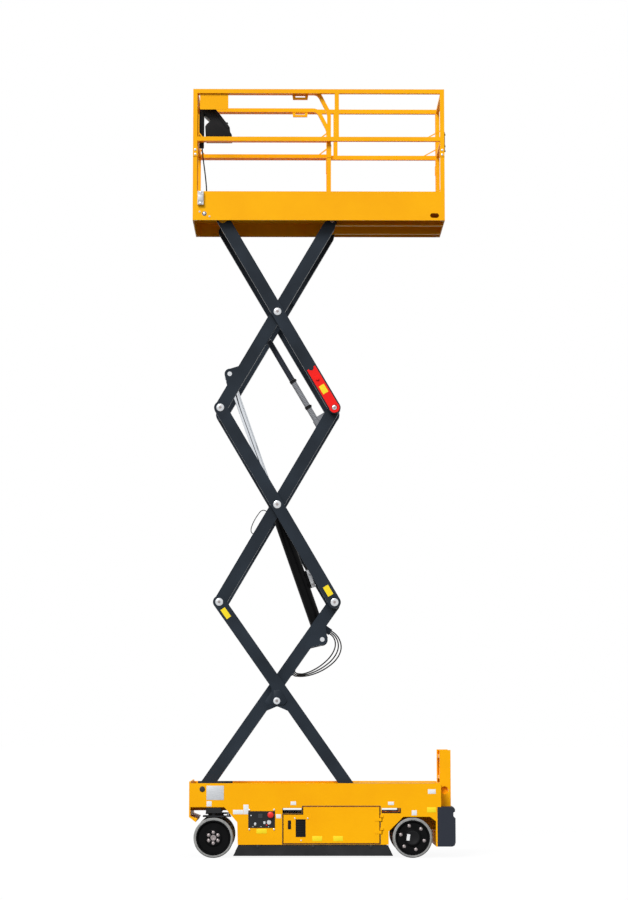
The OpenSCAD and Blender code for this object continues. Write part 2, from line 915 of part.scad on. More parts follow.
module platform_deck() {
    under = floor_z - floor_t;
    track_y0 = inner2_y - 2 - top_block_t - 11;
    track_y1 = inner2_y - 2;
    flange = 10;
    reach = block_h / 2 + run_gap;
    track_a = pin_tr.x - block_l / 2 - 10;
    track_b = deck_x1 - skirt_t;
    bracket_y = outer2_y + arm_t + 2;
    slot_r = 21;
    color(yellow) {
        difference() {
            block([deck_x0 + rail_t, -deck_half + skirt_t, under],
                [deck_x1 - rail_t, deck_half - skirt_t, floor_z]);
            // Drain slots along both edges of the fixed floor
            both_sides()
                for (i = [0 : 4])
                    block([deck_x1 - 811 + i * 148, rail_y - 8, under - 1],
                        [deck_x1 - 713 + i * 148, rail_y + 10, floor_z + 1]);
        }
        for (x = [deck_x0, deck_x1 - rail_t - 1])
            block([x, -rail_y + 0.3, under], [x + rail_t + 1, rail_y - 0.3, floor_z]);
        block([deck_x1 - skirt_t, -rail_y + 0.3, skirt_z0], [deck_x1, rail_y - 0.3, floor_z]);
        block([deck_x0, -rail_y + 0.3, skirt_z0], [deck_x0 + skirt_t, rail_y - 0.3, floor_z]);
        // Tread plate of the fixed floor
        block([ext_x1 + 8, 20 - rail_y, floor_z], [deck_x1 - rail_t - 20, rail_y - 20, floor_z + tread_t]);
        both_sides() {
            slab(deck_half - skirt_t, skirt_t)
                difference() {
                    translate([deck_x0 + rail_t, skirt_z0])
                        square([deck_l - 2 * rail_t, skirt_h]);
                    for (x = [-110, -74])
                        translate([deck_x1 + x, skirt_z0 + 44])
                            circle(r = slot_r);
                    translate([deck_x1 - 110, skirt_z0 + 44 - slot_r])
                        square([36, 2 * slot_r]);
                }
            // Stiffening rib inside the skirt
            block([deck_x0 + 986, deck_half - skirt_t - 14, skirt_z0 + 4],
                [deck_x0 + 998, deck_half - skirt_t + 1, under + 1]);
            // Track for the upper slide block
            block([track_a, track_y0, pin_tr.y - reach - flange], [track_b + 1, track_y0 + 9, under + 1]);
            block([track_a, track_y0, pin_tr.y - reach - flange], [track_b + 1, track_y1, pin_tr.y - reach]);
            block([track_a, track_y0, pin_tr.y + reach], [track_b + 1, track_y1, pin_tr.y + reach + flange]);
            // Bracket of the fixed upper pivot
            slab(bracket_y, bracket_t)
                difference() {
                    union() {
                        translate(pin_tl)
                            circle(r = 38);
                        translate([pin_tl.x - 60, pin_tl.y])
                            square([120, under - pin_tl.y + 1]);
                    }
                    translate(pin_tl)
                        circle(d = pin_d + 2 * fit);
                }
        }
    }
}

gate_t = 28;
gate_half = gate_w / 2;
gate_axis = [deck_x1 - rail_t / 2, gate_half + 8];
gate_zs = [mid_top + 60, rail_top - 130];
gate_pin = 10;

module main_rails() {
    mid_x = ext_x1 + 33;
    sleeve_z = mid_top - rail_t - 143;
    color(yellow) {
        both_sides() {
            for (z = [rail_top, mid_top])
                block([deck_x0, rail_y, z - rail_t], [deck_x1, deck_half, z]);
            for (x = [deck_x0, deck_x1 - rail_t])
                block([x, rail_y, skirt_z0], [x + rail_t, deck_half, rail_top]);
            block([mid_x, rail_y, mid_top - 1], [mid_x + rail_t, deck_half, rail_top - 1]);
            // Sleeves at the folding joints of the posts, and knee braces over the middle rail
            for (x = [deck_x0, deck_x1 - rail_t - 4])
                block([x, rail_y, sleeve_z], [x + rail_t + 4, deck_half + 4, sleeve_z + 82]);
            slab(rail_y + 14, 10) {
                polygon([[deck_x1 - rail_t - 117, mid_top - 1], [deck_x1 - rail_t - 100, mid_top - 1],
                    [deck_x1 - rail_t + 1, mid_top + 54], [deck_x1 - rail_t + 1, mid_top + 64]]);
                polygon([[deck_x0 + rail_t + 50, mid_top - 1], [deck_x0 + rail_t + 36, mid_top - 1],
                    [deck_x0 + rail_t - 1, mid_top + 54], [deck_x0 + rail_t - 1, mid_top + 68]]);
            }
        }
        for (z = gate_zs) {
            translate([gate_axis.x, gate_axis.y, z - 26])
                cylinder(h = 46, d = gate_pin);
            translate([gate_axis.x, gate_axis.y, z - 26])
                cylinder(h = 12, d = 14);
            block([gate_axis.x - 7, gate_axis.y, z - 26], [gate_axis.x + 7, rail_y + 1, z - 14]);
        }
    }
}

module entry_gate() {
    foot = floor_z + 140;
    top = rail_top - 20;
    x0 = gate_axis.x - gate_t / 2;
    x1 = gate_axis.x + gate_t / 2;
    color(yellow)
        difference() {
            union() {
                for (y = [-gate_half, gate_half - gate_t])
                    block([x0, y, foot], [x1, y + gate_t, top]);
                for (z = [top, mid_top, foot + gate_t])
                    block([x0, -gate_half, z - gate_t], [x1, gate_half, z]);
                for (z = gate_zs) {
                    translate([gate_axis.x, gate_axis.y, z - 12])
                        cylinder(h = 30, d = 18);
                    block([x0 + 8, gate_half - 2, z - 12], [x1 - 8, gate_axis.y, z + 18]);
                }
            }
            for (z = gate_zs)
                translate([gate_axis.x, gate_axis.y, z - 13])
                    cylinder(h = 32, d = gate_pin + 2 * fit);
        }
}

// Roll-out extension deck and its rails, nested inside the main ones
ext_half = rail_y - 8;
ext_t = 34;
ext_z = floor_z + 0.5;
ext_toe = 110;
ext_plate = 11;
gland_h = 12;
cable_p = [deck_x0 + 119, 64 - (ext_half - 6 - ext_t)];

module extension_deck() {
    toe_t = 6;
    color(yellow) {
        block([ext_x0, -ext_half, ext_z], [ext_x1, ext_half, ext_z + ext_plate]);
        block([ext_x0, -ext_half, ext_z], [ext_x0 + toe_t, ext_half, ext_z + ext_toe]);
        both_sides()
            block([ext_x0, ext_half - toe_t, ext_z], [ext_x1 - ext_t - 1, ext_half, ext_z + ext_toe]);
        translate([cable_p.x, cable_p.y, ext_z + ext_plate - 1])
            cylinder(h = gland_h + 1, d = 26);
    }
}

// Points on an arc about c, from angle a0 to a1
function arc(c, r, a0, a1) = [for (i = [0 : 6]) along(c, r, a0 + (a1 - a0) * i / 6)];

// Top rail and rear post of the extension, one tube bent twice, seen from the side
module bent_rail(x0, x1, top, foot) {
    lean = 27.2;
    fall = 187;
    half = ext_t / 2;
    knee_r = 70;
    heel_r = 150;
    knee = [x1 - half - fall * tan(lean) - knee_r * tan(45 - lean / 2), top - half - knee_r];
    heel = [x1 - half - heel_r, top - half - fall - heel_r * tan(lean / 2)];
    polygon(concat([[x0, top]], arc(knee, knee_r + half, 90, lean), arc(heel, heel_r + half, lean, 0),
        [[x1, foot], [x1 - ext_t, foot]], arc(heel, heel_r - half, 0, lean),
        arc(knee, knee_r - half, lean, 90), [[x0, top - ext_t]]));
}

module extension_rails() {
    foot = ext_z + ext_plate;
    y0 = ext_half - 6 - ext_t;
    top = rail_top - 2;
    x0 = ext_x0 + 6;
    post_x = ext_x1 - ext_t;
    grip_x = ext_x1 - 347;
    color(yellow) {
        both_sides() {
            slab(y0, ext_t)
                bent_rail(x0, ext_x1, top, foot);
            block([x0, y0, mid_top - ext_t], [ext_x1 - 1, y0 + ext_t, mid_top]);
            block([x0, y0, foot], [x0 + ext_t, y0 + ext_t, top - 1]);
            // Sleeve and knee brace at the rear post
            block([post_x - 3, y0 - 3, mid_top - 177], [ext_x1 + 3, y0 + ext_t + 3, mid_top - 60]);
            slab(y0 + 12, 10)
                polygon([[post_x - 74, mid_top - 1], [post_x - 58, mid_top - 1],
                    [post_x + 1, mid_top + 44], [post_x + 1, mid_top + 58]]);
            // Grip under the top rail that the platform is rolled out by
            slab(y0 + 4, ext_t - 8)
                difference() {
                    polygon([[grip_x, top - ext_t + 1], [grip_x + 6, top - ext_t - 44],
                        [grip_x + 137, top - ext_t - 44], [grip_x + 143, top - ext_t + 1]]);
                    translate([grip_x + 28, top - ext_t - 26])
                        square([87, 18]);
                }
        }
        for (z = [top, mid_top])
            block([x0, -y0 - 1, z - ext_t], [x0 + ext_t, y0 + 1, z]);
    }
}

module control_box() {
    y1 = -(ext_half - 6 - ext_t);
    x0 = deck_x0 + 52;
    x1 = x0 + 290;
    depth = 170;
    color(black) {
        difference() {
            block([x0, y1 + 4, mid_top], [x1, y1 + 4 + depth, mid_top + 245]);
            translate([0, y1 + 4 + 60, mid_top + 245])
                rotate([-38, 0, 0])
                    block([x0 - 1, 0, 0], [x1 + 1, 260, 200]);
        }
        block([x0 + 30, y1, mid_top - 30], [x1 - 30, y1 + 5, rail_top - 10]);
    }
}

module document_plate() {
    x0 = deck_x0 + 60;
    color(yellow)
        block([x0, -rail_y - rail_t / 2 - 2, rail_top - rail_t - 145],
            [x0 + 254, -rail_y - rail_t / 2 + 2, rail_top - rail_t]);
}

module socket_box() {
    x0 = deck_x0 + 44;
    top = skirt_z0 + skirt_h - 4;
    color(steel)
        block([x0, -deck_half - 26, top - 122], [x0 + 54, -deck_half, top]);
}

// Cords, each a tube swept along a route in one upright plane
function unit(v) = v / norm(v);
function turn(route, i) =
    unit(route[min(i + 1, len(route) - 1)] - route[max(i - 1, 0)]);
function ring(q, t, y, r, n) =
    [for (k = [0 : n - 1])
        [q.x - r * sin(360 * k / n) * t.y, y + r * cos(360 * k / n), q.y + r * sin(360 * k / n) * t.x]];

module cord(route, y, d, n) {
    last = len(route) - 1;
    rings = [for (i = [0 : last]) each ring(route[i], turn(route, i), y, d / 2, n)];
    sides = [for (i = [0 : last - 1]) for (k = [0 : n - 1])
        let (a = i * n + k, b = i * n + (k + 1) % n)
            each [[a, b, b + n], [a, b + n, a + n]]];
    color(black)
        polyhedron(rings, concat([[for (k = [n - 1 : -1 : 0]) k]], sides,
            [[for (k = [0 : n - 1]) last * n + k]]));
}

// Lift hoses in the lower inner arms' frame, [along, across] from the upper hose block
hose_d = 12;
hose_route = [[0, 0], [0, -35], [-6, -70], [-18, -102], [-36, -132], [-60, -156], [-90, -172],
    [-124, -180], [-160, -180], [-196, -173], [-232, -160], [-268, -143], [-302, -122], [-334, -98],
    [-364, -71], [-390, -42], [-412, -11], [-427, 17], [-436, 38], [-436, 58]];

function hose_points(start, depth) =
    [for (q = hose_route) [hose_blocks[0].x + start + q.x * (486 - 2 * (28 - start)) / 436,
        hose_blocks[0].y + (q.y > 0 ? q.y : q.y * depth)]];

module hose_outer() { on_arm(pin_bl, low_angle) cord(hose_points(42, 1), 80, hose_d, 10); }
module hose_middle() { on_arm(pin_bl, low_angle) cord(hose_points(28, 0.85), 92, hose_d, 10); }
module hose_inner() { on_arm(pin_bl, low_angle) cord(hose_points(14, 0.68), 104, hose_d, 10); }

// Sensor cable in the middle inner arms' frame, standing off the near arm's upper edge
sensor_route = [[905, 0], [905, 12], [901, 25], [892, 36], [878, 44], [858, 48], [830, 50], [800, 51],
    [770, 50], [742, 47], [716, 42], [695, 34], [681, 24], [674, 12], [674, 0]];

module sensor_cable() {
    on_arm(pin_k1l, lift_angle)
        cord([for (q = sensor_route) [q.x, q.y + arm_h / 2]], -inner2_y - arm_t / 2, 8, 8);
}

// Control cable from the control box down to its gland, as [along, share of the drop]
cable_drop = mid_top - ext_z - ext_plate - gland_h;
control_route = [[-44, 1], [-44, 0.95], [-43, 0.89], [-40, 0.82], [-35, 0.74], [-29, 0.66], [-22, 0.57],
    [-15, 0.48], [-9, 0.39], [-4, 0.3], [-1, 0.21], [0, 0.13], [0, 0.06], [0, 0]];

module control_cable() {
    translate([cable_p.x, 0, ext_z + ext_plate + gland_h])
        cord([for (q = control_route) [q.x, q.y * cable_drop]], cable_p.y, 12, 10);
}

chassis_frame();
front_bumper();
rear_cover();
ladder();
ground_panel();
slide_tracks();
front_axle();
rear_axle();
knuckle_near();
knuckle_far();
tie_rod();
tyre_front_near();
wheel_front_near();
tyre_front_far();
wheel_front_far();
tyre_rear_near();
wheel_rear_near();
tyre_rear_far();
wheel_rear_far();
tray_near();
battery_pack();
tray_far();
power_unit();
guard_near();
guard_far();
lower_inner_arms();
lower_outer_arms();
mid_inner_arms();
mid_outer_arms();
upper_inner_arms();
upper_outer_arms();
lower_inner_pins();
lower_outer_pins();
mid_outer_pins();
upper_inner_pins();
upper_outer_pins();
platform_pins();
lower_slide_blocks();
upper_slide_blocks();
lift_barrel();
lift_rod();
safety_prop();
cable_conduit();
platform_deck();
main_rails();
entry_gate();
extension_deck();
extension_rails();
control_box();
document_plate();
socket_box();
hose_outer();
hose_middle();
hose_inner();
sensor_cable();
control_cable();
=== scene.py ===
import math

import bmesh
import bpy
from mathutils import Matrix, Vector


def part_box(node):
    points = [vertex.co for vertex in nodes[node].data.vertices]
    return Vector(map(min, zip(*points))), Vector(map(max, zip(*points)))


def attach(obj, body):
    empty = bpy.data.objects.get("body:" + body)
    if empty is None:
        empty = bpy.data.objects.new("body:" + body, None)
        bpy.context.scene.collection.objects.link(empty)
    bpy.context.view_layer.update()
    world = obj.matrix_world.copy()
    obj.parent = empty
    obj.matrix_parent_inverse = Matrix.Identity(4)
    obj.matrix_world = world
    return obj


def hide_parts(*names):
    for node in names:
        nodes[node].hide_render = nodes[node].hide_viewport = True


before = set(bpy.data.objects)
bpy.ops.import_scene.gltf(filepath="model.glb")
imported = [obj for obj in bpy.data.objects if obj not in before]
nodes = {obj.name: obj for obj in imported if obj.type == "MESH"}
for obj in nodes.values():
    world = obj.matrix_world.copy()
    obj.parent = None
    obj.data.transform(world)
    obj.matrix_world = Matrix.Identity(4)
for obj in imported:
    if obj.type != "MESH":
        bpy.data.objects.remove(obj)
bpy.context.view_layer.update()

# Camera
# A long lens on a low stand, about 21 metres off the near side, tilted up a little
# so that the raised platform and the wheels fill the upright frame together.
camera_place = (-0.2371, -21.4068, 1.1910)
camera_pitch = 6.4057
camera_yaw = -0.4505
focal_px = 2399.11
frame_px = (628, 900)

lens = bpy.data.cameras.new("side_camera")
lens.sensor_fit = "HORIZONTAL"
lens.sensor_width = 36.0
lens.lens = focal_px * lens.sensor_width / frame_px[0]
lens.clip_end = 200.0
camera = bpy.data.objects.new("side_camera", lens)
camera.location = camera_place
camera.rotation_euler = (math.radians(90 + camera_pitch), 0, math.radians(camera_yaw))
scene = bpy.context.scene
scene.collection.objects.link(camera)
scene.camera = camera
scene.view_settings.view_transform = "Standard"


# Hoses and cables
# Three braided rubber hoses looped between blocks on a lower arm, a thin sensor cable
# clipped to a middle arm, and the cable that drops from the control box to the deck.
def linear(hex_code):
    parts = [int(hex_code[i:i + 2], 16) / 255 for i in (1, 3, 5)]
    return tuple(c / 12.92 if c <= 0.04045 else ((c + 0.055) / 1.055) ** 2.4 for c in parts) + (1.0,)


def add_node(tree, kind, inputs=None, **settings):
    node = tree.nodes.new(kind)
    for name, value in settings.items():
        setattr(node, name, value)
    for name, value in (inputs or {}).items():
        if isinstance(value, bpy.types.NodeSocket):
            tree.links.new(value, node.inputs[name])
        else:
            node.inputs[name].default_value = value
    return node


def start_finish(name):
    finish = bpy.data.materials.new(name)
    finish.use_nodes = True
    tree = finish.node_tree
    tree.nodes.clear()
    shader = add_node(tree, "ShaderNodeBsdfPrincipled")
    add_node(tree, "ShaderNodeOutputMaterial", {"Surface": shader.outputs["BSDF"]})
    where = add_node(tree, "ShaderNodeTexCoord")
    return finish, tree, shader, where.outputs["Object"]


def on_arm(pin, angle, along, across, y):
    c, s = math.cos(math.radians(angle)), math.sin(math.radians(angle))
    return Vector((pin[0] + along * c - across * s, y, pin[1] + along * s + across * c))


def lay_cord(name, node, body, points, diameter, finish):
    fine = []
    for i in range(len(points) - 1):
        a, b, c, d = (points[max(i - 1, 0)], points[i], points[i + 1],
            points[min(i + 2, len(points) - 1)])
        for k in range(6):
            t = k / 6
            fine.append(0.5 * (2 * b + (c - a) * t + (2 * a - 5 * b + 4 * c - d) * t ** 2
                + (3 * b - a - 3 * c + d) * t ** 3))
    fine.append(points[-1])
    route = bpy.data.curves.new(name, "CURVE")
    route.dimensions = "3D"
    spline = route.splines.new("POLY")
    spline.points.add(len(fine) - 1)
    for point, place in zip(spline.points, fine):
        point.co = (*place, 1.0)
    route.bevel_depth = diameter / 2
    route.bevel_resolution = 3
    route.use_fill_caps = True
    route.materials.append(finish)
    piece = bpy.data.objects.new(name, route)
    scene.collection.objects.link(piece)
    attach(piece, body)
    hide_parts(node)


# Rubber hose is near black and matt, so that it shows only a soft streak of light
hose_rubber, tree, shader, where = start_finish("black_hose_rubber")
# The braid prints through the cover at about 2 mm, drawn at 6 mm so that it shows
braid = add_node(tree, "ShaderNodeTexNoise", {"Vector": where, "Scale": 1 / 0.006,
    "Detail": 2.0})
tone = add_node(tree, "ShaderNodeValToRGB", {"Fac": braid.outputs["Fac"]})
tone.color_ramp.elements[0].color = linear("#060607")
tone.color_ramp.elements[1].color = linear("#111213")
relief = add_node(tree, "ShaderNodeBump", {"Height": braid.outputs["Fac"], "Strength": 0.3,
    "Distance": 0.001})
tree.links.new(tone.outputs["Color"], shader.inputs["Base Color"])
tree.links.new(relief.outputs["Normal"], shader.inputs["Normal"])
shader.inputs["Roughness"].default_value = 0.55
shader.inputs["Specular IOR Level"].default_value = 0.2

low_pin = (-1.038, 0.584)
low_angle = 54.8389
block_s = 1.7431
block_face = -0.119
hose_route = [(0, 0), (0, -35), (-6, -70), (-18, -102), (-36, -132), (-60, -156), (-90, -172),
    (-124, -180), (-160, -180), (-196, -173), (-232, -160), (-268, -143), (-302, -122), (-334, -98),
    (-364, -71), (-390, -42), (-412, -11), (-427, 17), (-436, 38), (-436, 58)]
for name, start, depth, y, length in (("hose_outer", 42, 1.0, 0.080, 0.729),
        ("hose_middle", 28, 0.85, 0.092, 0.669), ("hose_inner", 14, 0.68, 0.104, 0.605)):
    reach = (486 - 2 * (28 - start)) / 436
    points = [on_arm(low_pin, low_angle, block_s + (start + a * reach) / 1000,
        block_face + (b if b > 0 else b * depth) / 1000, y) for a, b in hose_route]
    lay_cord(name.replace("hose", "lift_hose"), name, "lower_inner", points, 0.012,
        hose_rubber)

mid_pin = (-0.9026, 2.2136)
mid_angle = 59.6
sensor_route = [(905, 0), (905, 12), (901, 25), (892, 36), (878, 44), (858, 48), (830, 50), (800, 51),
    (770, 50), (742, 47), (716, 42), (695, 34), (681, 24), (674, 12), (674, 0)]
lay_cord("angle_sensor_cable", "sensor_cable", "mid_inner",
    [on_arm(mid_pin, mid_angle, a / 1000, 0.055 + b / 1000, -0.229) for a, b in sensor_route],
    0.008, hose_rubber)

cable_foot = (-1.035, -0.230, 5.7832)
cable_drop = 0.5905
control_route = [(-44, 1), (-44, 0.95), (-43, 0.89), (-40, 0.82), (-35, 0.74), (-29, 0.66), (-22, 0.57),
    (-15, 0.48), (-9, 0.39), (-4, 0.3), (-1, 0.21), (0, 0.13), (0, 0.06), (0, 0)]
lay_cord("control_box_cable", "control_cable", "extension",
    [Vector((cable_foot[0] + a / 1000, cable_foot[1], cable_foot[2] + b * cable_drop))
        for a, b in control_route], 0.012, hose_rubber)


# Studio floor and light
# A seamless white floor under an even white surround, with one broad soft key from
# the front left, as a catalogue picture is lit. The floor keeps a faint shadow.
surround = bpy.data.worlds.new("white_surround")
surround.use_nodes = True
tree = surround.node_tree
tree.nodes.clear()
ray = add_node(tree, "ShaderNodeLightPath")
mirrored = add_node(tree, "ShaderNodeMath", {0: ray.outputs["Is Glossy Ray"],
    1: ray.outputs["Is Transmission Ray"]}, operation="MAXIMUM")
seen = add_node(tree, "ShaderNodeMath", {0: ray.outputs["Is Camera Ray"],
    1: mirrored.outputs[0]}, operation="MAXIMUM")
dome = add_node(tree, "ShaderNodeBackground", {"Color": linear("#f4f6fa"), "Strength": 0.74})
backdrop = add_node(tree, "ShaderNodeBackground", {"Color": (1, 1, 1, 1), "Strength": 1.0})
sky = add_node(tree, "ShaderNodeMixShader", {0: seen.outputs[0], 1: dome.outputs[0],
    2: backdrop.outputs[0]})
add_node(tree, "ShaderNodeOutputWorld", {"Surface": sky.outputs[0]})
scene.world = surround

key = bpy.data.lights.new("soft_key", "SUN")
key.energy = 2.8
key.angle = math.radians(25)
key_lamp = bpy.data.objects.new("soft_key", key)
key_lamp.rotation_euler = (math.radians(48), 0, math.radians(-28))
scene.collection.objects.link(key_lamp)

paper, tree, shader = start_finish("white_floor_paper")[:3]
shader.inputs["Roughness"].default_value = 0.9
shader.inputs["Specular IOR Level"].default_value = 0.0
ray = add_node(tree, "ShaderNodeLightPath")
mirrored = add_node(tree, "ShaderNodeMath", {0: ray.outputs["Is Glossy Ray"],
    1: ray.outputs["Is Transmission Ray"]}, operation="MAXIMUM")
seen = add_node(tree, "ShaderNodeMath", {0: ray.outputs["Is Camera Ray"],
    1: mirrored.outputs[0]}, operation="MAXIMUM")
# The paper is white to the eye, and throws little light back up under the platform
tone = add_node(tree, "ShaderNodeMix", {0: seen.outputs[0], 6: linear("#525252"),
    7: linear("#f7f7f7")}, data_type="RGBA")
tree.links.new(tone.outputs[2], shader.inputs["Base Color"])
glow = add_node(tree, "ShaderNodeEmission", {"Color": (1, 1, 1, 1), "Strength": 1.0})
share = add_node(tree, "ShaderNodeMath", {0: seen.outputs[0], 1: 0.93}, operation="MULTIPLY")
lit = add_node(tree, "ShaderNodeMixShader", {0: share.outputs[0], 1: shader.outputs["BSDF"],
    2: glow.outputs[0]})
tree.links.new(lit.outputs[0], tree.nodes["Material Output"].inputs["Surface"])

floor_half = 80.0
floor_mesh = bpy.data.meshes.new("studio_floor")
floor_mesh.from_pydata([(-floor_half, -floor_half, 0), (floor_half, -floor_half, 0),
    (floor_half, floor_half, 0), (-floor_half, floor_half, 0)], [], [(0, 1, 2, 3)])
floor_mesh.materials.append(paper)
floor = bpy.data.objects.new("studio_floor", floor_mesh)
scene.collection.objects.link(floor)


# Chassis
# Welded steel plate with bent edges, sprayed with a warm yellow powder coat.
# The coat is smooth and half glossy, a little uneven, and dulled low down by dust.
def coat(names, finish):
    for name in names:
        slots = nodes[name].data.materials
        slots.clear()
        slots.append(finish)


yellow_coat, tree, shader, where = start_finish("yellow_powder_coat")
# Powder peel is about 3 mm across, too fine to show, so it is drawn 20 mm across
peel = add_node(tree, "ShaderNodeTexNoise", {"Vector": where, "Scale": 1 / 0.020,
    "Detail": 3.0})
shade = add_node(tree, "ShaderNodeTexNoise", {"Vector": where, "Scale": 1 / 0.60,
    "Detail": 4.0, "Roughness": 0.6})
tone = add_node(tree, "ShaderNodeValToRGB", {"Fac": shade.outputs["Fac"]})
tone.color_ramp.elements[0].position = 0.30
tone.color_ramp.elements[0].color = linear("#f9ab00")
tone.color_ramp.elements[1].position = 0.62
tone.color_ramp.elements[1].color = linear("#ffb500")
relief = add_node(tree, "ShaderNodeBump", {"Height": peel.outputs["Fac"], "Strength": 0.1,
    "Distance": 0.001})
tree.links.new(tone.outputs["Color"], shader.inputs["Base Color"])
tree.links.new(relief.outputs["Normal"], shader.inputs["Normal"])
shader.inputs["Roughness"].default_value = 0.45
shader.inputs["Specular IOR Level"].default_value = 0.12
coat(["chassis_frame", "front_bumper", "ladder"], yellow_coat)


# Black covers, axles and guards
# Pressed steel and cast pieces in a satin black enamel, with the rear cover moulded.
# Dust settles in the grain, so the black is warmer and rougher in patches.
black_enamel, tree, shader, where = start_finish("satin_black_enamel")
dust = add_node(tree, "ShaderNodeTexNoise", {"Vector": where, "Scale": 1 / 0.15,
    "Detail": 5.0})
tone = add_node(tree, "ShaderNodeValToRGB", {"Fac": dust.outputs["Fac"]})
tone.color_ramp.elements[0].position = 0.35
tone.color_ramp.elements[0].color = linear("#121315")
tone.color_ramp.elements[1].position = 0.75
tone.color_ramp.elements[1].color = linear("#232325")
rough = add_node(tree, "ShaderNodeMapRange", {"Value": dust.outputs["Fac"], "To Min": 0.38,
    "To Max": 0.62})
tree.links.new(tone.outputs["Color"], shader.inputs["Base Color"])
tree.links.new(rough.outputs["Result"], shader.inputs["Roughness"])
shader.inputs["Specular IOR Level"].default_value = 0.25
coat(["ground_panel", "front_axle", "rear_axle", "knuckle_near", "knuckle_far", "guard_near",
    "guard_far", "battery_pack"], black_enamel)

slate_cover, tree, shader, where = start_finish("moulded_slate_cover")
# Mould grain is about 1 mm, drawn at 4 mm so that it shows
grain = add_node(tree, "ShaderNodeTexNoise", {"Vector": where, "Scale": 1 / 0.004,
    "Detail": 2.0})
tone = add_node(tree, "ShaderNodeValToRGB", {"Fac": grain.outputs["Fac"]})
tone.color_ramp.elements[0].color = linear("#22262e")
tone.color_ramp.elements[1].color = linear("#30343e")
relief = add_node(tree, "ShaderNodeBump", {"Height": grain.outputs["Fac"], "Strength": 0.15,
    "Distance": 0.0006})
tree.links.new(tone.outputs["Color"], shader.inputs["Base Color"])
tree.links.new(relief.outputs["Normal"], shader.inputs["Normal"])
shader.inputs["Roughness"].default_value = 0.5
shader.inputs["Specular IOR Level"].default_value = 0.16
coat(["rear_cover"], slate_cover)


# Plates and stickers on the chassis
# A riveted aluminium plate and small vinyl stickers, all left blank, with rubber plugs
# over the fixed arm pins and a rubber strip inside the far side.
def add_block(shape, low, high, edge=0.0):
    corners = bmesh.ops.create_cube(shape, size=1.0)["verts"]
    low, high = Vector(low), Vector(high)
    for corner in corners:
        corner.co = Vector([low[i] + (corner.co[i] + 0.5) * (high[i] - low[i]) for i in range(3)])
    if edge:
        edges = list({e for corner in corners for e in corner.link_edges})
        bmesh.ops.bevel(shape, geom=edges, offset=edge, segments=2, profile=0.6, affect="EDGES")


def add_turned(shape, place, axis, profile, steps=28):
    turn = Vector((0, 0, 1)).rotation_difference(Vector(axis))
    rings = []
    for radius, height in profile:
        if radius == 0:
            rings.append([shape.verts.new(Vector(place) + turn @ Vector((0, 0, height)))])
            continue
        rings.append([shape.verts.new(Vector(place) + turn @ Vector((radius * math.cos(a),
            radius * math.sin(a), height))) for a in (2 * math.pi * k / steps for k in range(steps))])
    for low, high in zip(rings, rings[1:]):
        for k in range(steps):
            n = (k + 1) % steps
            if len(low) == 1 and len(high) > 1:
                shape.faces.new((low[0], high[n], high[k]))
            elif len(high) == 1 and len(low) > 1:
                shape.faces.new((low[k], low[n], high[0]))
            elif len(low) > 1:
                shape.faces.new((low[k], low[n], high[n], high[k]))


def make_piece(name, shape, finish, body):
    bmesh.ops.recalc_face_normals(shape, faces=shape.faces)
    mesh = bpy.data.meshes.new(name)
    shape.to_mesh(mesh)
    shape.free()
    mesh.materials.append(finish)
    mesh.shade_smooth()
    mesh.set_sharp_from_angle(angle=math.radians(32))
    piece = bpy.data.objects.new(name, mesh)
    scene.collection.objects.link(piece)
    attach(piece, body)
    return piece


skin = 0.402
near = -skin
# Anodising leaves the brushed sheet pale, with a soft, stretched shine
rated_plate, tree, shader, where = start_finish("anodised_aluminium_plate")
brush = add_node(tree, "ShaderNodeMapping", {"Vector": where, "Scale": (0.04, 1, 1)})
# Brushing is finer than 0.3 mm, drawn at 2 mm so that it shows
grain = add_node(tree, "ShaderNodeTexNoise", {"Vector": brush.outputs["Vector"], "Scale": 1 / 0.002,
    "Detail": 2.0})
tone = add_node(tree, "ShaderNodeValToRGB", {"Fac": grain.outputs["Fac"]})
tone.color_ramp.elements[0].color = linear("#b4b7bb")
tone.color_ramp.elements[1].color = linear("#d6d8db")
tree.links.new(tone.outputs["Color"], shader.inputs["Base Color"])
shader.inputs["Metallic"].default_value = 0.6
shader.inputs["Roughness"].default_value = 0.4
shape = bmesh.new()
add_block(shape, (-1.004, near - 0.0015, 0.497), (-0.854, near, 0.619), 0.0006)
for x in (-0.996, -0.862):
    for z in (0.505, 0.611):
        add_turned(shape, (x, near - 0.0015, z), (0, -1, 0), [(0.004, 0), (0.003, 0.0012),
            (0, 0.0016)], 12)
make_piece("blank_aluminium_plate", shape, rated_plate, "chassis")

# Vinyl film is smooth and half glossy, with a slight haze
vinyl = {}
for colour, dull, fresh in (("white", "#dfe1e2", "#f3f3f1"), ("yellow", "#f3d400", "#ffe414")):
    vinyl[colour], tree, shader, where = start_finish(colour + "_vinyl_film")
    haze = add_node(tree, "ShaderNodeTexNoise", {"Vector": where, "Scale": 1 / 0.02,
        "Detail": 2.0})
    tone = add_node(tree, "ShaderNodeValToRGB", {"Fac": haze.outputs["Fac"]})
    tone.color_ramp.elements[0].color = linear(dull)
    tone.color_ramp.elements[1].color = linear(fresh)
    tree.links.new(tone.outputs["Color"], shader.inputs["Base Color"])
    shader.inputs["Roughness"].default_value = 0.35
film = 0.0008
film_edge = 0.0003
shape = bmesh.new()
for x0, x1, z0, z1 in ((-1.003, -0.959, 0.441, 0.486), (-0.684, -0.639, 0.374, 0.457),
        (-0.774, -0.686, 0.374, 0.412), (-0.400, -0.358, 0.340, 0.374), (-0.274, -0.228, 0.453, 0.484),
        (0.570, 0.621, 0.453, 0.482), (0.775, 0.819, 0.364, 0.408), (0.916, 0.984, 0.549, 0.588)):
    add_block(shape, (x0, near - film, z0), (x1, near, z1), film_edge)
make_piece("blank_white_stickers", shape, vinyl["white"], "chassis")
shape = bmesh.new()
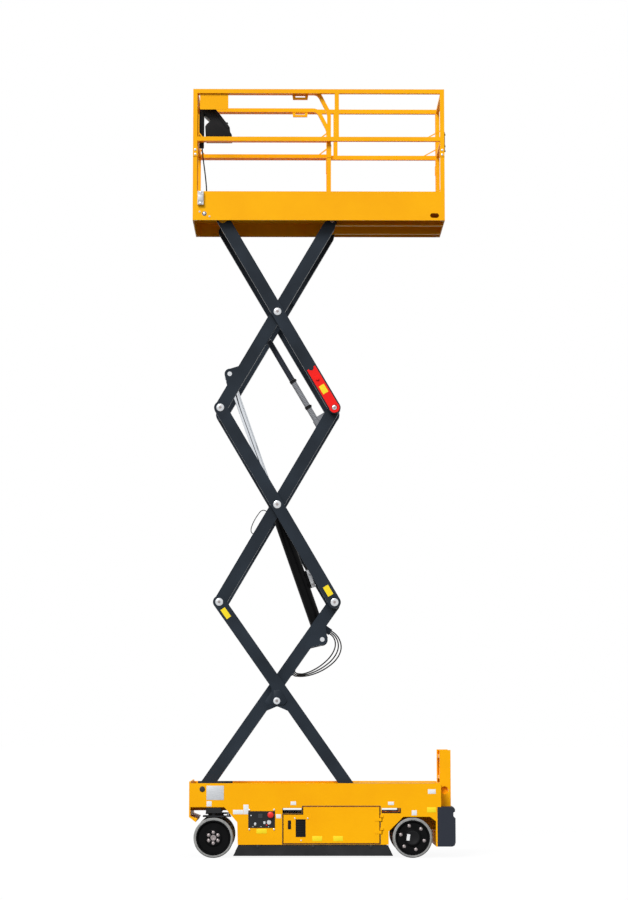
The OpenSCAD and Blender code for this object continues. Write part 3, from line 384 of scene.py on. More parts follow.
for x0, x1, z0, z1 in ((-0.571, -0.481, 0.209, 0.250), (0.908, 0.984, 0.389, 0.434)):
    add_block(shape, (x0, near - film, z0), (x1, near, z1), film_edge)
make_piece("blank_yellow_stickers", shape, vinyl["yellow"], "chassis")

# Moulded rubber is matt and black, with a chalky bloom
black_rubber, tree, shader, where = start_finish("moulded_black_rubber")
chalk = add_node(tree, "ShaderNodeTexNoise", {"Vector": where, "Scale": 1 / 0.02,
    "Detail": 4.0})
tone = add_node(tree, "ShaderNodeValToRGB", {"Fac": chalk.outputs["Fac"]})
tone.color_ramp.elements[0].color = linear("#0d0d0e")
tone.color_ramp.elements[1].color = linear("#1c1c1d")
tree.links.new(tone.outputs["Color"], shader.inputs["Base Color"])
shader.inputs["Roughness"].default_value = 0.65
shape = bmesh.new()
for side in (-1, 1):
    add_turned(shape, (-1.0405, skin * side, 0.590), (0, side, 0), [(0.024, 0), (0.024, 0.003),
        (0.020, 0.007), (0.010, 0.009), (0, 0.0095)])
add_block(shape, (-1.110, 0.386, 0.560), (-0.800, 0.392, 0.640), 0.002)
make_piece("rubber_plugs_and_strip", shape, black_rubber, "chassis")


# Ladder hole cups
# Drawn steel cups welded inside the two stiles of the ladder, behind their round
# holes, in the same yellow coat.
shape = bmesh.new()
for side in (-1, 1):
    add_turned(shape, (1.070, 0.2238 * side, 0.575), (0, -side, 0), [(0, 0.029), (0.029, 0.029),
        (0.0318, 0.026), (0.0318, 0), (0.0337, 0), (0.0337, 0.028), (0.030, 0.032), (0, 0.032)], 36)
make_piece("ladder_hole_cups", shape, yellow_coat, "chassis")


# Ground control panel
# A folded black panel with a red mushroom stop button, a chromed key switch, a lever
# with a pale knob, a small meter window and lamps, held by four zinc screws.
# Fresh zinc is bright and cool, with a faint cloudy bloom
zinc_plate, tree, shader, where = start_finish("bright_zinc_plate")
bloom = add_node(tree, "ShaderNodeTexNoise", {"Vector": where, "Scale": 1 / 0.02,
    "Detail": 3.0})
tone = add_node(tree, "ShaderNodeValToRGB", {"Fac": bloom.outputs["Fac"]})
tone.color_ramp.elements[0].color = linear("#b9bcc0")
tone.color_ramp.elements[1].color = linear("#e2e4e6")
tree.links.new(tone.outputs["Color"], shader.inputs["Base Color"])
shader.inputs["Metallic"].default_value = 0.9
shader.inputs["Roughness"].default_value = 0.3

# Moulded plastic has an even shine, and its colour wears a little where it is pressed
red_abs, tree, shader, where = start_finish("moulded_red_plastic")
wear = add_node(tree, "ShaderNodeTexNoise", {"Vector": where, "Scale": 1 / 0.01,
    "Detail": 3.0})
tone = add_node(tree, "ShaderNodeValToRGB", {"Fac": wear.outputs["Fac"]})
tone.color_ramp.elements[0].color = linear("#d81a10")
tone.color_ramp.elements[1].color = linear("#f2281a")
tree.links.new(tone.outputs["Color"], shader.inputs["Base Color"])
shader.inputs["Roughness"].default_value = 0.35

panel_low, panel_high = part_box("ground_panel")
panel_x1, panel_z1 = panel_high.x, panel_high.z
panel_x0, panel_z0 = panel_low.x, panel_low.z
panel_face = near - 0.002
stop_at = (panel_x1 - 0.038, panel_z1 - 0.032)
shape = bmesh.new()
add_turned(shape, (stop_at[0], panel_face - 0.006, stop_at[1]), (0, -1, 0), [(0.013, 0), (0.013, 0.005),
    (0.024, 0.006), (0.0265, 0.009), (0.0255, 0.014), (0.018, 0.018), (0, 0.019)])
add_turned(shape, (panel_x1 - 0.072, panel_face, panel_z1 - 0.120), (0, -1, 0), [(0.006, 0),
    (0.006, 0.003), (0.003, 0.005), (0, 0.0055)], 16)
make_piece("red_stop_button", shape, red_abs, "chassis")

shape = bmesh.new()
key_at = (panel_x1 - 0.052, panel_face - 0.003, panel_z1 - 0.096)
add_turned(shape, key_at, (0, -1, 0), [(0.019, 0), (0.019, 0.003), (0.016, 0.006), (0.0125, 0.006),
    (0.0125, 0.004), (0, 0.004)])
add_block(shape, (key_at[0] - 0.002, key_at[1] - 0.014, key_at[2] - 0.010),
    (key_at[0] + 0.002, key_at[1] - 0.003, key_at[2] + 0.010), 0.0006)
add_block(shape, (panel_x1 - 0.100, panel_face - 0.004, panel_z1 - 0.110),
    (panel_x1 - 0.082, panel_face, panel_z1 - 0.088), 0.001)
add_turned(shape, (panel_x0 + 0.060, panel_face, panel_z0 + 0.036), (0, -1, 0), [(0.010, 0),
    (0.010, 0.004), (0.007, 0.006), (0.004, 0.006), (0.004, 0.010), (0, 0.010)], 20)
for x in (panel_x0 + 0.008, panel_x1 - 0.008):
    for z in (panel_z0 - 0.012, panel_z1 + 0.012):
        add_turned(shape, (x, near, z), (0, -1, 0), [(0.009, 0), (0.009, 0.0015), (0.007, 0.006),
            (0.004, 0.0075), (0, 0.0075)], 16)
make_piece("panel_key_switch_and_screws", shape, zinc_plate, "chassis")

pale_abs, tree, shader, where = start_finish("moulded_pale_plastic")
wear = add_node(tree, "ShaderNodeTexNoise", {"Vector": where, "Scale": 1 / 0.01,
    "Detail": 3.0})
tone = add_node(tree, "ShaderNodeValToRGB", {"Fac": wear.outputs["Fac"]})
tone.color_ramp.elements[0].color = linear("#b9c0c6")
tone.color_ramp.elements[1].color = linear("#d8dde0")
tree.links.new(tone.outputs["Color"], shader.inputs["Base Color"])
shader.inputs["Roughness"].default_value = 0.4
shape = bmesh.new()
add_turned(shape, (panel_x0 + 0.060, panel_face - 0.010, panel_z0 + 0.036), (0, -0.8, -0.6),
    [(0.003, 0), (0.004, 0.010), (0.007, 0.012), (0.0085, 0.016), (0.006, 0.021), (0, 0.022)], 20)
add_turned(shape, (panel_x0 + 0.024, panel_face, panel_z1 - 0.038), (0, -1, 0), [(0.006, 0),
    (0.006, 0.002), (0.003, 0.004), (0, 0.0045)], 16)
for x in (0.040, 0.110, 0.176):
    add_turned(shape, (panel_x0 + x, panel_face, panel_z0 + 0.010), (0, -1, 0), [(0.004, 0),
        (0.004, 0.001), (0.002, 0.002), (0, 0.0022)], 12)
make_piece("panel_lever_and_lamps", shape, pale_abs, "chassis")

# The dark window shines, and fine wiping marks blur it in patches
smoked_glass, tree, shader, where = start_finish("smoked_meter_window")
film_wear = add_node(tree, "ShaderNodeTexNoise", {"Vector": where, "Scale": 1 / 0.01,
    "Detail": 2.0})
rough = add_node(tree, "ShaderNodeMapRange", {"Value": film_wear.outputs["Fac"], "To Min": 0.08,
    "To Max": 0.2})
tree.links.new(rough.outputs["Result"], shader.inputs["Roughness"])
shader.inputs["Base Color"].default_value = linear("#25272b")
shape = bmesh.new()
add_block(shape, (panel_x0 + 0.085, panel_face - 0.003, panel_z1 - 0.060),
    (panel_x0 + 0.123, panel_face, panel_z1 - 0.022), 0.001)
make_piece("panel_meter_window", shape, smoked_glass, "chassis")


# Swing-out trays
# Folded yellow trays that close the chassis sides. The near one shows a black paddle
# latch, a louvred vent with three screws and two blank stickers; the far one matches.
coat(["tray_near", "tray_far"], yellow_coat)
coat(["power_unit"], black_enamel)
door_x0 = -0.336
door_z0 = 0.127
vent_x0, vent_x1 = door_x0 + 0.105, door_x0 + 0.192
vent_z0, vent_z1 = door_z0 + 0.051, door_z0 + 0.204

# Black plastic from a grained mould, which scatters its shine
black_abs, tree, shader, where = start_finish("moulded_black_plastic")
# Mould grain is about 1 mm, drawn at 5 mm so that it shows
grain = add_node(tree, "ShaderNodeTexVoronoi", {"Vector": where,
    "Scale": 1 / 0.005})
relief = add_node(tree, "ShaderNodeBump", {"Height": grain.outputs["Distance"], "Strength": 0.25,
    "Distance": 0.0006})
tree.links.new(relief.outputs["Normal"], shader.inputs["Normal"])
shader.inputs["Base Color"].default_value = linear("#0f0f11")
shader.inputs["Roughness"].default_value = 0.5
shader.inputs["Specular IOR Level"].default_value = 0.15


def add_frame(shape, low, high, bars, depth, edge):
    for a, c in ((low, (high[0], low[1] + bars[1])), ((low[0], high[1] - bars[1]), high),
            (low, (low[0] + bars[0], high[1])), ((high[0] - bars[0], low[1]), high)):
        add_block(shape, (a[0], depth[0], a[1]), (c[0], depth[1], c[1]), edge)


for side, body in ((-1, "tray_near"), (1, "tray_far")):
    shape = bmesh.new()
    add_frame(shape, (vent_x0, vent_z0), (vent_x1, vent_z1), (0.006, 0.007),
        sorted((0.396 * side, 0.4005 * side)), 0.001)
    slats = sorted((0.3945 * side, 0.399 * side))
    for k in range(9):
        z = vent_z0 + 0.010 + k * 0.0148
        add_block(shape, (vent_x0 + 0.004, slats[0], z), (vent_x1 - 0.004, slats[1], z + 0.0128), 0.002)
    latch = sorted((0.398 * side, 0.4012 * side))
    add_block(shape, (door_x0 + 0.038, latch[0], door_z0 + 0.118),
        (door_x0 + 0.065, latch[1], door_z0 + 0.193), 0.0015)
    paddle = sorted((0.401 * side, 0.4045 * side))
    add_block(shape, (door_x0 + 0.042, paddle[0], door_z0 + 0.124),
        (door_x0 + 0.061, paddle[1], door_z0 + 0.158), 0.0015)
    add_turned(shape, (door_x0 + 0.0515, 0.401 * side, door_z0 + 0.178), (0, side, 0), [(0.0085, 0),
        (0.0085, 0.002), (0.006, 0.003), (0.002, 0.003), (0.002, 0.001), (0, 0.001)], 20)
    make_piece(body + "_vent_and_latch", shape, black_abs, body)
    shape = bmesh.new()
    for x, z in ((vent_x0 - 0.007, vent_z1 + 0.008), (vent_x1 + 0.018, vent_z1 + 0.008),
            (vent_x0 + 0.048, vent_z0 - 0.028)):
        add_turned(shape, (x, skin * side, z), (0, side, 0), [(0.008, 0), (0.008, 0.0015),
            (0.006, 0.005), (0.003, 0.0062), (0, 0.0062)], 16)
    make_piece(body + "_vent_screws", shape, zinc_plate, body)
shape = bmesh.new()
for x0, x1 in ((-0.087, -0.001), (0.094, 0.178)):
    add_block(shape, (x0, near - film, 0.143), (x1, near, 0.187), film_edge)
make_piece("blank_tray_stickers", shape, vinyl["yellow"], "tray_near")

# Black strips round the door openings and black sleeves over the guard lugs below the chassis are
# painted shade: they stand in for the dark gaps round the doors and the shade under the chassis.
shape = bmesh.new()
for side in (-1, 1):
    for x0, z0, x1, z1 in ((-0.347, 0.116, -0.341, 0.381), (-0.341, 0.375, -0.170, 0.381),
            (-0.176, 0.381, -0.170, 0.447), (-0.170, 0.441, 0.505, 0.447), (0.499, 0.349, 0.505, 0.441),
            (0.499, 0.240, 0.505, 0.309), (0.499, 0.116, 0.505, 0.200), (-0.341, 0.116, 0.499, 0.122)):
        depth = sorted((0.4015 * side, 0.4035 * side))
        add_block(shape, (x0, depth[0], z0), (x1, depth[1], z1), 0.0005)
    for x in (-0.560, -0.0785, 0.420):
        depth = sorted((0.379 * side, 0.4032 * side))
        add_block(shape, (x - 0.0076, depth[0], 0.0885), (x + 0.0076, depth[1], 0.1128), 0.001)
make_piece("tray_gap_shade_strips_and_lug_shade_sleeves", shape, black_rubber, "chassis")


# Fork pockets
# Rectangular tubes across the chassis, the front one right through, lined inside with thin black sheets
# as painted shade for their dark interiors, so that only the far opening shows light.
shape = bmesh.new()
shade_liner = 0.0015
for x0, inner in ((-0.345, 0.0), (0.514, 0.114)):
    for side in (-1, 1):
        add_frame(shape, (x0, 0.382), (x0 + 0.168, 0.428), (shade_liner, shade_liner),
            sorted((inner * side, 0.4005 * side)), 0.0004)
make_piece("fork_pocket_shade_liners", shape, black_enamel, "chassis")


# Slide tracks and tie rod
# Rolled mild steel bar, bright along the running faces and greyer in the hollows.
# Fine rolling lines run along the bar and break up its reflections.
rolled_steel, tree, shader, where = start_finish("rolled_mild_steel")
stretch = add_node(tree, "ShaderNodeMapping", {"Vector": where,
    "Scale": (0.05, 1.0, 1.0)})
# Rolling lines are about 1 mm apart, drawn 6 mm apart so that they show
lines = add_node(tree, "ShaderNodeTexNoise", {"Vector": stretch.outputs["Vector"],
    "Scale": 1 / 0.006, "Detail": 2.0})
tone = add_node(tree, "ShaderNodeValToRGB", {"Fac": lines.outputs["Fac"]})
tone.color_ramp.elements[0].color = linear("#8f9499")
tone.color_ramp.elements[1].color = linear("#b4b8bc")
tree.links.new(tone.outputs["Color"], shader.inputs["Base Color"])
shader.inputs["Metallic"].default_value = 0.85
shader.inputs["Roughness"].default_value = 0.42
coat(["slide_tracks", "tie_rod"], rolled_steel)


# Wheels
# Solid pale non-marking rubber bonded on black enamelled steel discs, each with a hub
# cap and six wheel bolts. The rubber is matt, scuffed and a little darker in patches.
pale_rubber, tree, shader, where = start_finish("pale_non_marking_rubber")
scuff = add_node(tree, "ShaderNodeTexNoise", {"Vector": where, "Scale": 1 / 0.03,
    "Detail": 5.0, "Roughness": 0.65})
tone = add_node(tree, "ShaderNodeValToRGB", {"Fac": scuff.outputs["Fac"]})
tone.color_ramp.elements[0].position = 0.3
tone.color_ramp.elements[0].color = linear("#7c7d7b")
tone.color_ramp.elements[1].position = 0.7
tone.color_ramp.elements[1].color = linear("#a09f9c")
relief = add_node(tree, "ShaderNodeBump", {"Height": scuff.outputs["Fac"], "Strength": 0.2,
    "Distance": 0.002})
tree.links.new(tone.outputs["Color"], shader.inputs["Base Color"])
tree.links.new(relief.outputs["Normal"], shader.inputs["Normal"])
shader.inputs["Roughness"].default_value = 0.78

# Gloss enamel on the discs is almost black, with a thin film of dust
disc_enamel, tree, shader, where = start_finish("gloss_black_disc_enamel")
dust = add_node(tree, "ShaderNodeTexNoise", {"Vector": where, "Scale": 1 / 0.08,
    "Detail": 4.0})
tone = add_node(tree, "ShaderNodeValToRGB", {"Fac": dust.outputs["Fac"]})
tone.color_ramp.elements[0].color = linear("#060607")
tone.color_ramp.elements[1].color = linear("#141415")
tree.links.new(tone.outputs["Color"], shader.inputs["Base Color"])
shader.inputs["Roughness"].default_value = 0.3
shader.inputs["Specular IOR Level"].default_value = 0.05

# Used zinc is dull and a little brown
dull_zinc, tree, shader, where = start_finish("dull_passivated_zinc")
stain = add_node(tree, "ShaderNodeTexNoise", {"Vector": where, "Scale": 1 / 0.01,
    "Detail": 3.0})
tone = add_node(tree, "ShaderNodeValToRGB", {"Fac": stain.outputs["Fac"]})
tone.color_ramp.elements[0].color = linear("#857d7d")
tone.color_ramp.elements[1].color = linear("#a69d9c")
tree.links.new(tone.outputs["Color"], shader.inputs["Base Color"])
shader.inputs["Metallic"].default_value = 0.7
shader.inputs["Roughness"].default_value = 0.45
for end, bolt_ring, phase, hub_face in (("front", 0.046, 30, 0.396), ("rear", 0.105, 46, 0.386)):
    for side, place in (("near", -1), ("far", 1)):
        corner = end + "_" + side
        coat(["tyre_" + corner], pale_rubber)
        coat(["wheel_" + corner], disc_enamel)
        low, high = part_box("tyre_" + corner)
        centre = (low + high) / 2
        shape = bmesh.new()
        for k in range(6):
            a = math.radians(60 * k + phase)
            spot = (centre.x + bolt_ring * math.cos(a), hub_face * place,
                centre.z + bolt_ring * math.sin(a))
            add_turned(shape, spot, (0, place, 0), [(0.0145, 0), (0.0145, 0.002), (0.0125, 0.003),
                (0.0115, 0.007), (0.008, 0.0098), (0.004, 0.0108), (0, 0.011)])
        make_piece("wheel_bolts_" + corner, shape, dull_zinc, "wheel_" + corner)
        shape = bmesh.new()
        if end == "front":
            add_turned(shape, (centre.x, hub_face * place, centre.z), (0, place, 0), [(0.025, 0),
                (0.025, 0.003), (0.023, 0.005), (0.010, 0.006), (0.008, 0.005), (0, 0.005)])
            make_piece("hub_cap_" + corner, shape, dull_zinc, "wheel_" + corner)
        else:
            add_turned(shape, (centre.x, 0.396 * place, centre.z), (0, place, 0), [(0.060, 0),
                (0.060, 0.002), (0.056, 0.003), (0.050, 0.003), (0.046, 0.001), (0, 0.001)], 48)
            make_piece("hub_cap_" + corner, shape, black_abs, "wheel_" + corner)
low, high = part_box("tyre_rear_near")
centre = (low + high) / 2
shape = bmesh.new()
for y in (-0.3992, -0.4000):
    shape.faces.new([shape.verts.new((centre.x - 0.036 + a, y, centre.z + 0.004 + c))
        for a, c in ((-0.018, -0.026), (0.009, -0.029), (0.016, 0.025), (-0.011, 0.028))])
bmesh.ops.bridge_loops(shape, edges=shape.edges[:])
make_piece("blank_hub_sticker", shape, vinyl["white"], "wheel_rear_near")


# Scissor arms
# Rectangular steel tubes in a dark slate enamel, six pairs on common pins.
# The enamel is smooth and semi-gloss, with faint grease marks near the pins.
slate_enamel, tree, shader, where = start_finish("dark_slate_enamel")
grease = add_node(tree, "ShaderNodeTexNoise", {"Vector": where, "Scale": 1 / 0.35,
    "Detail": 4.0})
tone = add_node(tree, "ShaderNodeValToRGB", {"Fac": grease.outputs["Fac"]})
tone.color_ramp.elements[0].position = 0.3
tone.color_ramp.elements[0].color = linear("#1b2128")
tone.color_ramp.elements[1].position = 0.7
tone.color_ramp.elements[1].color = linear("#272f38")
rough = add_node(tree, "ShaderNodeMapRange", {"Value": grease.outputs["Fac"], "To Min": 0.34,
    "To Max": 0.5})
tree.links.new(tone.outputs["Color"], shader.inputs["Base Color"])
tree.links.new(rough.outputs["Result"], shader.inputs["Roughness"])
shader.inputs["Specular IOR Level"].default_value = 0.14
coat([level + "_" + side + "_arms" for level in ("lower", "mid", "upper")
    for side in ("inner", "outer")], slate_enamel)


def add_plate(shape, pin, angle, along, across, y, out):
    faces = [[shape.verts.new(on_arm(pin, angle, a, c, y + d)) for a, c in ((along[0], across[0]),
        (along[1], across[0]), (along[1], across[1]), (along[0], across[1]))] for d in (0, out)]
    shape.faces.new(faces[0])
    shape.faces.new(faces[1])
    for k in range(4):
        n = (k + 1) % 4
        shape.faces.new((faces[0][k], faces[0][n], faces[1][n], faces[1][k]))


arm_angle = 59.6
low_slide = (0.245, 0.584)
mid_elbow = (0.1096, 2.2136)
shape = bmesh.new()
add_plate(shape, low_slide, 180 - low_angle, (1.830, 1.927), (-0.014, 0.032), -0.370, -film)
make_piece("blank_lower_arm_sticker", shape, vinyl["yellow"], "lower_outer")
shape = bmesh.new()
add_plate(shape, mid_elbow, 180 - arm_angle, (0.069, 0.163), (-0.028, 0.024), -0.312, -film)
make_piece("blank_middle_arm_sticker", shape, vinyl["yellow"], "mid_outer")


# Centre pin plates
# Flat steel plates welded over the lugs of the lowest centre pin and enamelled with
# the arms. Their rounded edges catch the light against the dark tubes.
centre_pin = (-0.3965, 1.3510)


def add_pin_plate(shape, corners, y, out):
    rim = []
    for k, corner in enumerate(corners):
        here = Vector(corner)
        before = here + 0.014 * (Vector(corners[k - 1]) - here).normalized()
        after = here + 0.014 * (Vector(corners[(k + 1) % len(corners)]) - here).normalized()
        for step in range(6):
            t = step / 5
            rim.append(before * (1 - t) ** 2 + here * 2 * t * (1 - t) + after * t ** 2)
    middle = sum(rim, Vector((0, 0))) / len(rim)
    rings = []
    for rise, inset in ((0, 0), (0.4, 0), (0.8, 0.002), (1, 0.005)):
        rings.append([shape.verts.new((centre_pin[0] + spot.x, y + rise * out, centre_pin[1] + spot.y))
            for spot in (point + inset * (middle - point).normalized() for point in rim)])
    for low, high in zip(rings, rings[1:]):
        for k in range(len(rim)):
            n = (k + 1) % len(rim)
            shape.faces.new((low[k], low[n], high[n], high[k]))
    shape.faces.new(rings[0])
    shape.faces.new(rings[-1])


for body, face, thick, corners in (
        ("lower_outer", 0.370, 0.008, ((-0.031, 0.092), (0.030, 0.098), (0.094, 0.002), (0.070, -0.036),
            (-0.036, -0.036))),
        ("lower_inner", 0.312, 0.003, ((-0.034, 0.100), (-0.105, -0.008), (-0.086, -0.036),
            (-0.034, -0.030)))):
    shape = bmesh.new()
    for side in (-1, 1):
        add_pin_plate(shape, corners, face * side, thick * side)
    make_piece(body + "_pin_plates", shape, slate_enamel, body)


# Pins
# Turned steel pins with domed heads, zinc plated to a bright cool grey. The bolt that
# draws each pin tight sits in the middle of its head on a duller washer.
coat(["lower_inner_pins", "lower_outer_pins", "mid_outer_pins", "upper_inner_pins",
    "upper_outer_pins", "platform_pins"], zinc_plate)
for body, face, rise, pins in (
        ("lower_outer", 0.381, 0.0025, ((-0.3965, 1.3510), (-0.9026, 2.2136))),
        ("mid_outer", 0.317, 0.0008, ((0.1096, 2.2136), (-0.3965, 3.0761))),
        ("mid_outer", 0.323, 0.0025, ((-0.9026, 3.9386),)),
        ("upper_inner", 0.323, 0.0025, ((-0.3965, 4.8011),)),
        ("upper_outer", 0.323, 0.0025, ((0.1096, 3.9386),))):
    shape = bmesh.new()
    for x, z in pins:
        for side in (-1, 1):
            add_turned(shape, (x, face * side, z), (0, side, 0), [(0.0125, 0), (0.0125, 0.4 * rise),
                (0.0085, 0.5 * rise), (0.0085, 0.9 * rise), (0.0075, rise), (0.0035, rise),
                (0.0035, 0.6 * rise), (0, 0.6 * rise)], 24)
    make_piece("pin_bolts_" + body + ("_outer" if rise < 0.001 else ""), shape, dull_zinc, body)


# Slide blocks
# Machined black nylon blocks that run in the tracks of the chassis and the platform.
# Nylon stays matt and takes a polish only along the running faces.
coat(["lower_slide_blocks", "upper_slide_blocks"], black_abs)


# Lift cylinder
# A black enamelled barrel and a ground, hard chromed rod, which mirrors the sky in a
# streak. A grey valve block with a coil and two pipe unions is screwed to the barrel.
hard_chrome, tree, shader, where = start_finish("ground_hard_chrome")
polish = add_node(tree, "ShaderNodeTexNoise", {"Vector": where, "Scale": 1 / 0.4,
    "Detail": 2.0})
rough = add_node(tree, "ShaderNodeMapRange", {"Value": polish.outputs["Fac"], "To Min": 0.10,
    "To Max": 0.2})
tree.links.new(rough.outputs["Result"], shader.inputs["Roughness"])
shader.inputs["Base Color"].default_value = linear("#d5d9de")
shader.inputs["Metallic"].default_value = 1.0
coat(["lift_rod"], hard_chrome)
coat(["lift_barrel"], disc_enamel)

# Bare die casting is pale and matt, with cloudy patches
cast_aluminium, tree, shader, where = start_finish("die_cast_aluminium")
cloud = add_node(tree, "ShaderNodeTexNoise", {"Vector": where, "Scale": 1 / 0.03,
    "Detail": 4.0})
tone = add_node(tree, "ShaderNodeValToRGB", {"Fac": cloud.outputs["Fac"]})
tone.color_ramp.elements[0].color = linear("#a9abae")
tone.color_ramp.elements[1].color = linear("#cdcfd1")
tree.links.new(tone.outputs["Color"], shader.inputs["Base Color"])
shader.inputs["Metallic"].default_value = 0.6
shader.inputs["Roughness"].default_value = 0.5

barrel_eye = (0.0025, 1.8915)
barrel_angle = 109.28
turn_barrel = Matrix.Translation((barrel_eye[0], 0, barrel_eye[1])) @ Matrix.Rotation(
    math.radians(-barrel_angle), 4, "Y")
shape = bmesh.new()
add_block(shape, (0.4685, -0.0295, -0.1015), (0.6315, 0.0295, -0.0700), 0.002)
for s in (0.482, 0.618):
    for y in (-0.018, 0.018):
        add_turned(shape, (s, y, -0.1015), (0, 0, -1), [(0.007, 0), (0.007, 0.006), (0.005, 0.007),
            (0, 0.007)], 6)
for s in (0.505, 0.595):
    add_turned(shape, (s, -0.0295, -0.085), (0, -1, 0), [(0.012, 0), (0.012, 0.010), (0.009, 0.012),
        (0.009, 0.022), (0.006, 0.024), (0, 0.024)], 6)
bmesh.ops.transform(shape, matrix=turn_barrel, verts=shape.verts)
make_piece("lift_valve_block", shape, cast_aluminium, "lift_barrel")
shape = bmesh.new()
add_turned(shape, (0.631, 0, -0.086), (1, 0, 0), [(0.015, 0), (0.0195, 0.002), (0.0195, 0.048),
    (0.015, 0.051), (0.010, 0.052), (0.010, 0.058), (0, 0.058)])
bmesh.ops.transform(shape, matrix=turn_barrel, verts=shape.verts)
make_piece("lift_valve_coil", shape, black_abs, "lift_barrel")


# Maintenance prop
# Flame-cut steel flat in signal red enamel, pinned on the near upper elbow, with a
# blank yellow label. Thin paint over the cut edge leaves the colour slightly patchy.
red_enamel, tree, shader, where = start_finish("signal_red_enamel")
patch = add_node(tree, "ShaderNodeTexNoise", {"Vector": where, "Scale": 1 / 0.08,
    "Detail": 3.0})
tone = add_node(tree, "ShaderNodeValToRGB", {"Fac": patch.outputs["Fac"]})
tone.color_ramp.elements[0].color = linear("#ec1410")
tone.color_ramp.elements[1].color = linear("#fb1d14")
tree.links.new(tone.outputs["Color"], shader.inputs["Base Color"])
shader.inputs["Roughness"].default_value = 0.45
shader.inputs["Specular IOR Level"].default_value = 0.2
coat(["safety_prop"], red_enamel)
top_elbow = (0.1096, 3.9386)
shape = bmesh.new()
add_plate(shape, top_elbow, 180 - arm_angle, (0.150, 0.230), (-0.026, 0.026), -0.320, -film)
make_piece("blank_prop_label", shape, vinyl["yellow"], "upper_outer")


# Cable conduit
# A ribbed plastic hose guard on the upper elbow shaft: grey below, slate above, with
# two black clamps. The moulded rings are 14 mm apart.
grey_plastic, tree, shader, where = start_finish("ribbed_grey_plastic")
fade = add_node(tree, "ShaderNodeTexNoise", {"Vector": where, "Scale": 1 / 0.1,
    "Detail": 3.0})
tone = add_node(tree, "ShaderNodeValToRGB", {"Fac": fade.outputs["Fac"]})
tone.color_ramp.elements[0].color = linear("#75777c")
tone.color_ramp.elements[1].color = linear("#8f9195")
tree.links.new(tone.outputs["Color"], shader.inputs["Base Color"])
shader.inputs["Roughness"].default_value = 0.55
coat(["cable_conduit"], grey_plastic)
turn_conduit = Matrix.Translation((top_elbow[0], -0.100, top_elbow[1])) @ Matrix.Rotation(
    math.radians(arm_angle - 180), 4, "Y")
for name, start, rings, finish, slot in (("conduit_grey_ribs", 0.008, 29, grey_plastic, "grey_plastic"),
        ("conduit_slate_ribs", 0.428, 29, slate_cover, "black_plastic")):
    profile = [(0.0241, 0)]
    for k in range(rings):
        s = k * 0.014
        profile += [(0.0243, s + 0.001), (0.0262, s + 0.004), (0.0262, s + 0.010), (0.0243, s + 0.013)]
    profile.append((0.0241, rings * 0.014))
    shape = bmesh.new()
    add_turned(shape, (start, 0, 0.185), (1, 0, 0), profile, 24)
    bmesh.ops.transform(shape, matrix=turn_conduit, verts=shape.verts)
    make_piece(name, shape, finish, "upper_outer")
shape = bmesh.new()
for s in (0.128, 0.398):
    add_turned(shape, (s, 0, 0.185), (1, 0, 0), [(0.0262, 0), (0.0296, 0.001), (0.0296, 0.027),
        (0.0262, 0.028)])
    add_block(shape, (s + 0.006, -0.007, 0.150), (s + 0.022, 0.007, 0.158), 0.002)
bmesh.ops.transform(shape, matrix=turn_conduit, verts=shape.verts)
make_piece("conduit_clamps", shape, black_abs, "upper_outer")


# Platform
# Folded sheet skirts and square tube rails, welded and powder coated yellow. The floor
# is chequered plate, and the folding joints of the posts are bolted through sleeves.
coat(["platform_deck", "main_rails", "entry_gate", "extension_deck", "extension_rails",
    "document_plate"], yellow_coat)


def add_lozenges(shape, low, high, z):
    # Chequer bars stand 24 mm long and 1.5 mm high, turned each way by 45 degrees
    pitch = 0.034
    rows = int((high[1] - low[1]) / pitch)
    columns = int((high[0] - low[0]) / pitch)
    for i in range(columns):
        for j in range(rows):
            x, y = low[0] + (i + 0.5) * pitch, low[1] + (j + 0.5) * pitch
            lean = 1 if (i + j) % 2 else -1
            along = Vector((0.7071, 0.7071 * lean, 0)) * 0.012
            across = Vector((-0.7071 * lean, 0.7071, 0)) * 0.0035
            spot = Vector((x, y, z))
            ring = [shape.verts.new(spot + p) for p in (along, across, -along, -across)]
            top = [shape.verts.new(spot + p * 0.6 + Vector((0, 0, 0.0015)))
                for p in (along, across, -along, -across)]
            shape.faces.new(top)
            for k in range(4):
                n = (k + 1) % 4
                shape.faces.new((ring[k], ring[n], top[n], top[k]))


deck_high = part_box("platform_deck")[1]
ext_low, ext_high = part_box("extension_deck")
shape = bmesh.new()
add_lozenges(shape, (ext_high.x + 0.012, -0.318), (deck_high.x - 0.062, 0.318), ext_low.z + 0.0055)
make_piece("fixed_floor_chequer", shape, yellow_coat, "platform")
shape = bmesh.new()
add_lozenges(shape, (ext_low.x + 0.150, -0.200), (ext_high.x - 0.045, 0.280), ext_low.z + 0.011)
make_piece("extension_floor_chequer", shape, yellow_coat, "extension")

rail_low, rail_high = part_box("main_rails")
shape = bmesh.new()
for x in (rail_low.x + 0.021, rail_high.x - 0.021):
    for z in (6.212, 6.254):
        for side in (-1, 1):
            add_turned(shape, (x, 0.384 * side, z), (0, side, 0), [(0.011, 0), (0.011, 0.0015),
                (0.008, 0.0015), (0.008, 0.006), (0.006, 0.007), (0, 0.007)], 6)
for x, z, r in ((-1.050, 5.673, 0.020), (-1.092, 5.690, 0.008), (-1.004, 5.647, 0.008)):
    add_turned(shape, (x, -0.380, z), (0, -1, 0), [(r, 0), (r, 0.002), (0.62 * r, 0.002),
        (0.58 * r, 0.007), (0.40 * r, 0.008), (0, 0.008)], 24)
make_piece("rail_and_skirt_bolts", shape, zinc_plate, "platform")
shape = bmesh.new()
add_turned(shape, (-1.050, -0.382, 5.673), (0, -1, 0), [(0.0125, 0), (0.0185, 0.0006), (0.0185, 0.0016),
    (0.0125, 0.0022)], 28)
make_piece("skirt_bolt_seal", shape, black_rubber, "platform")


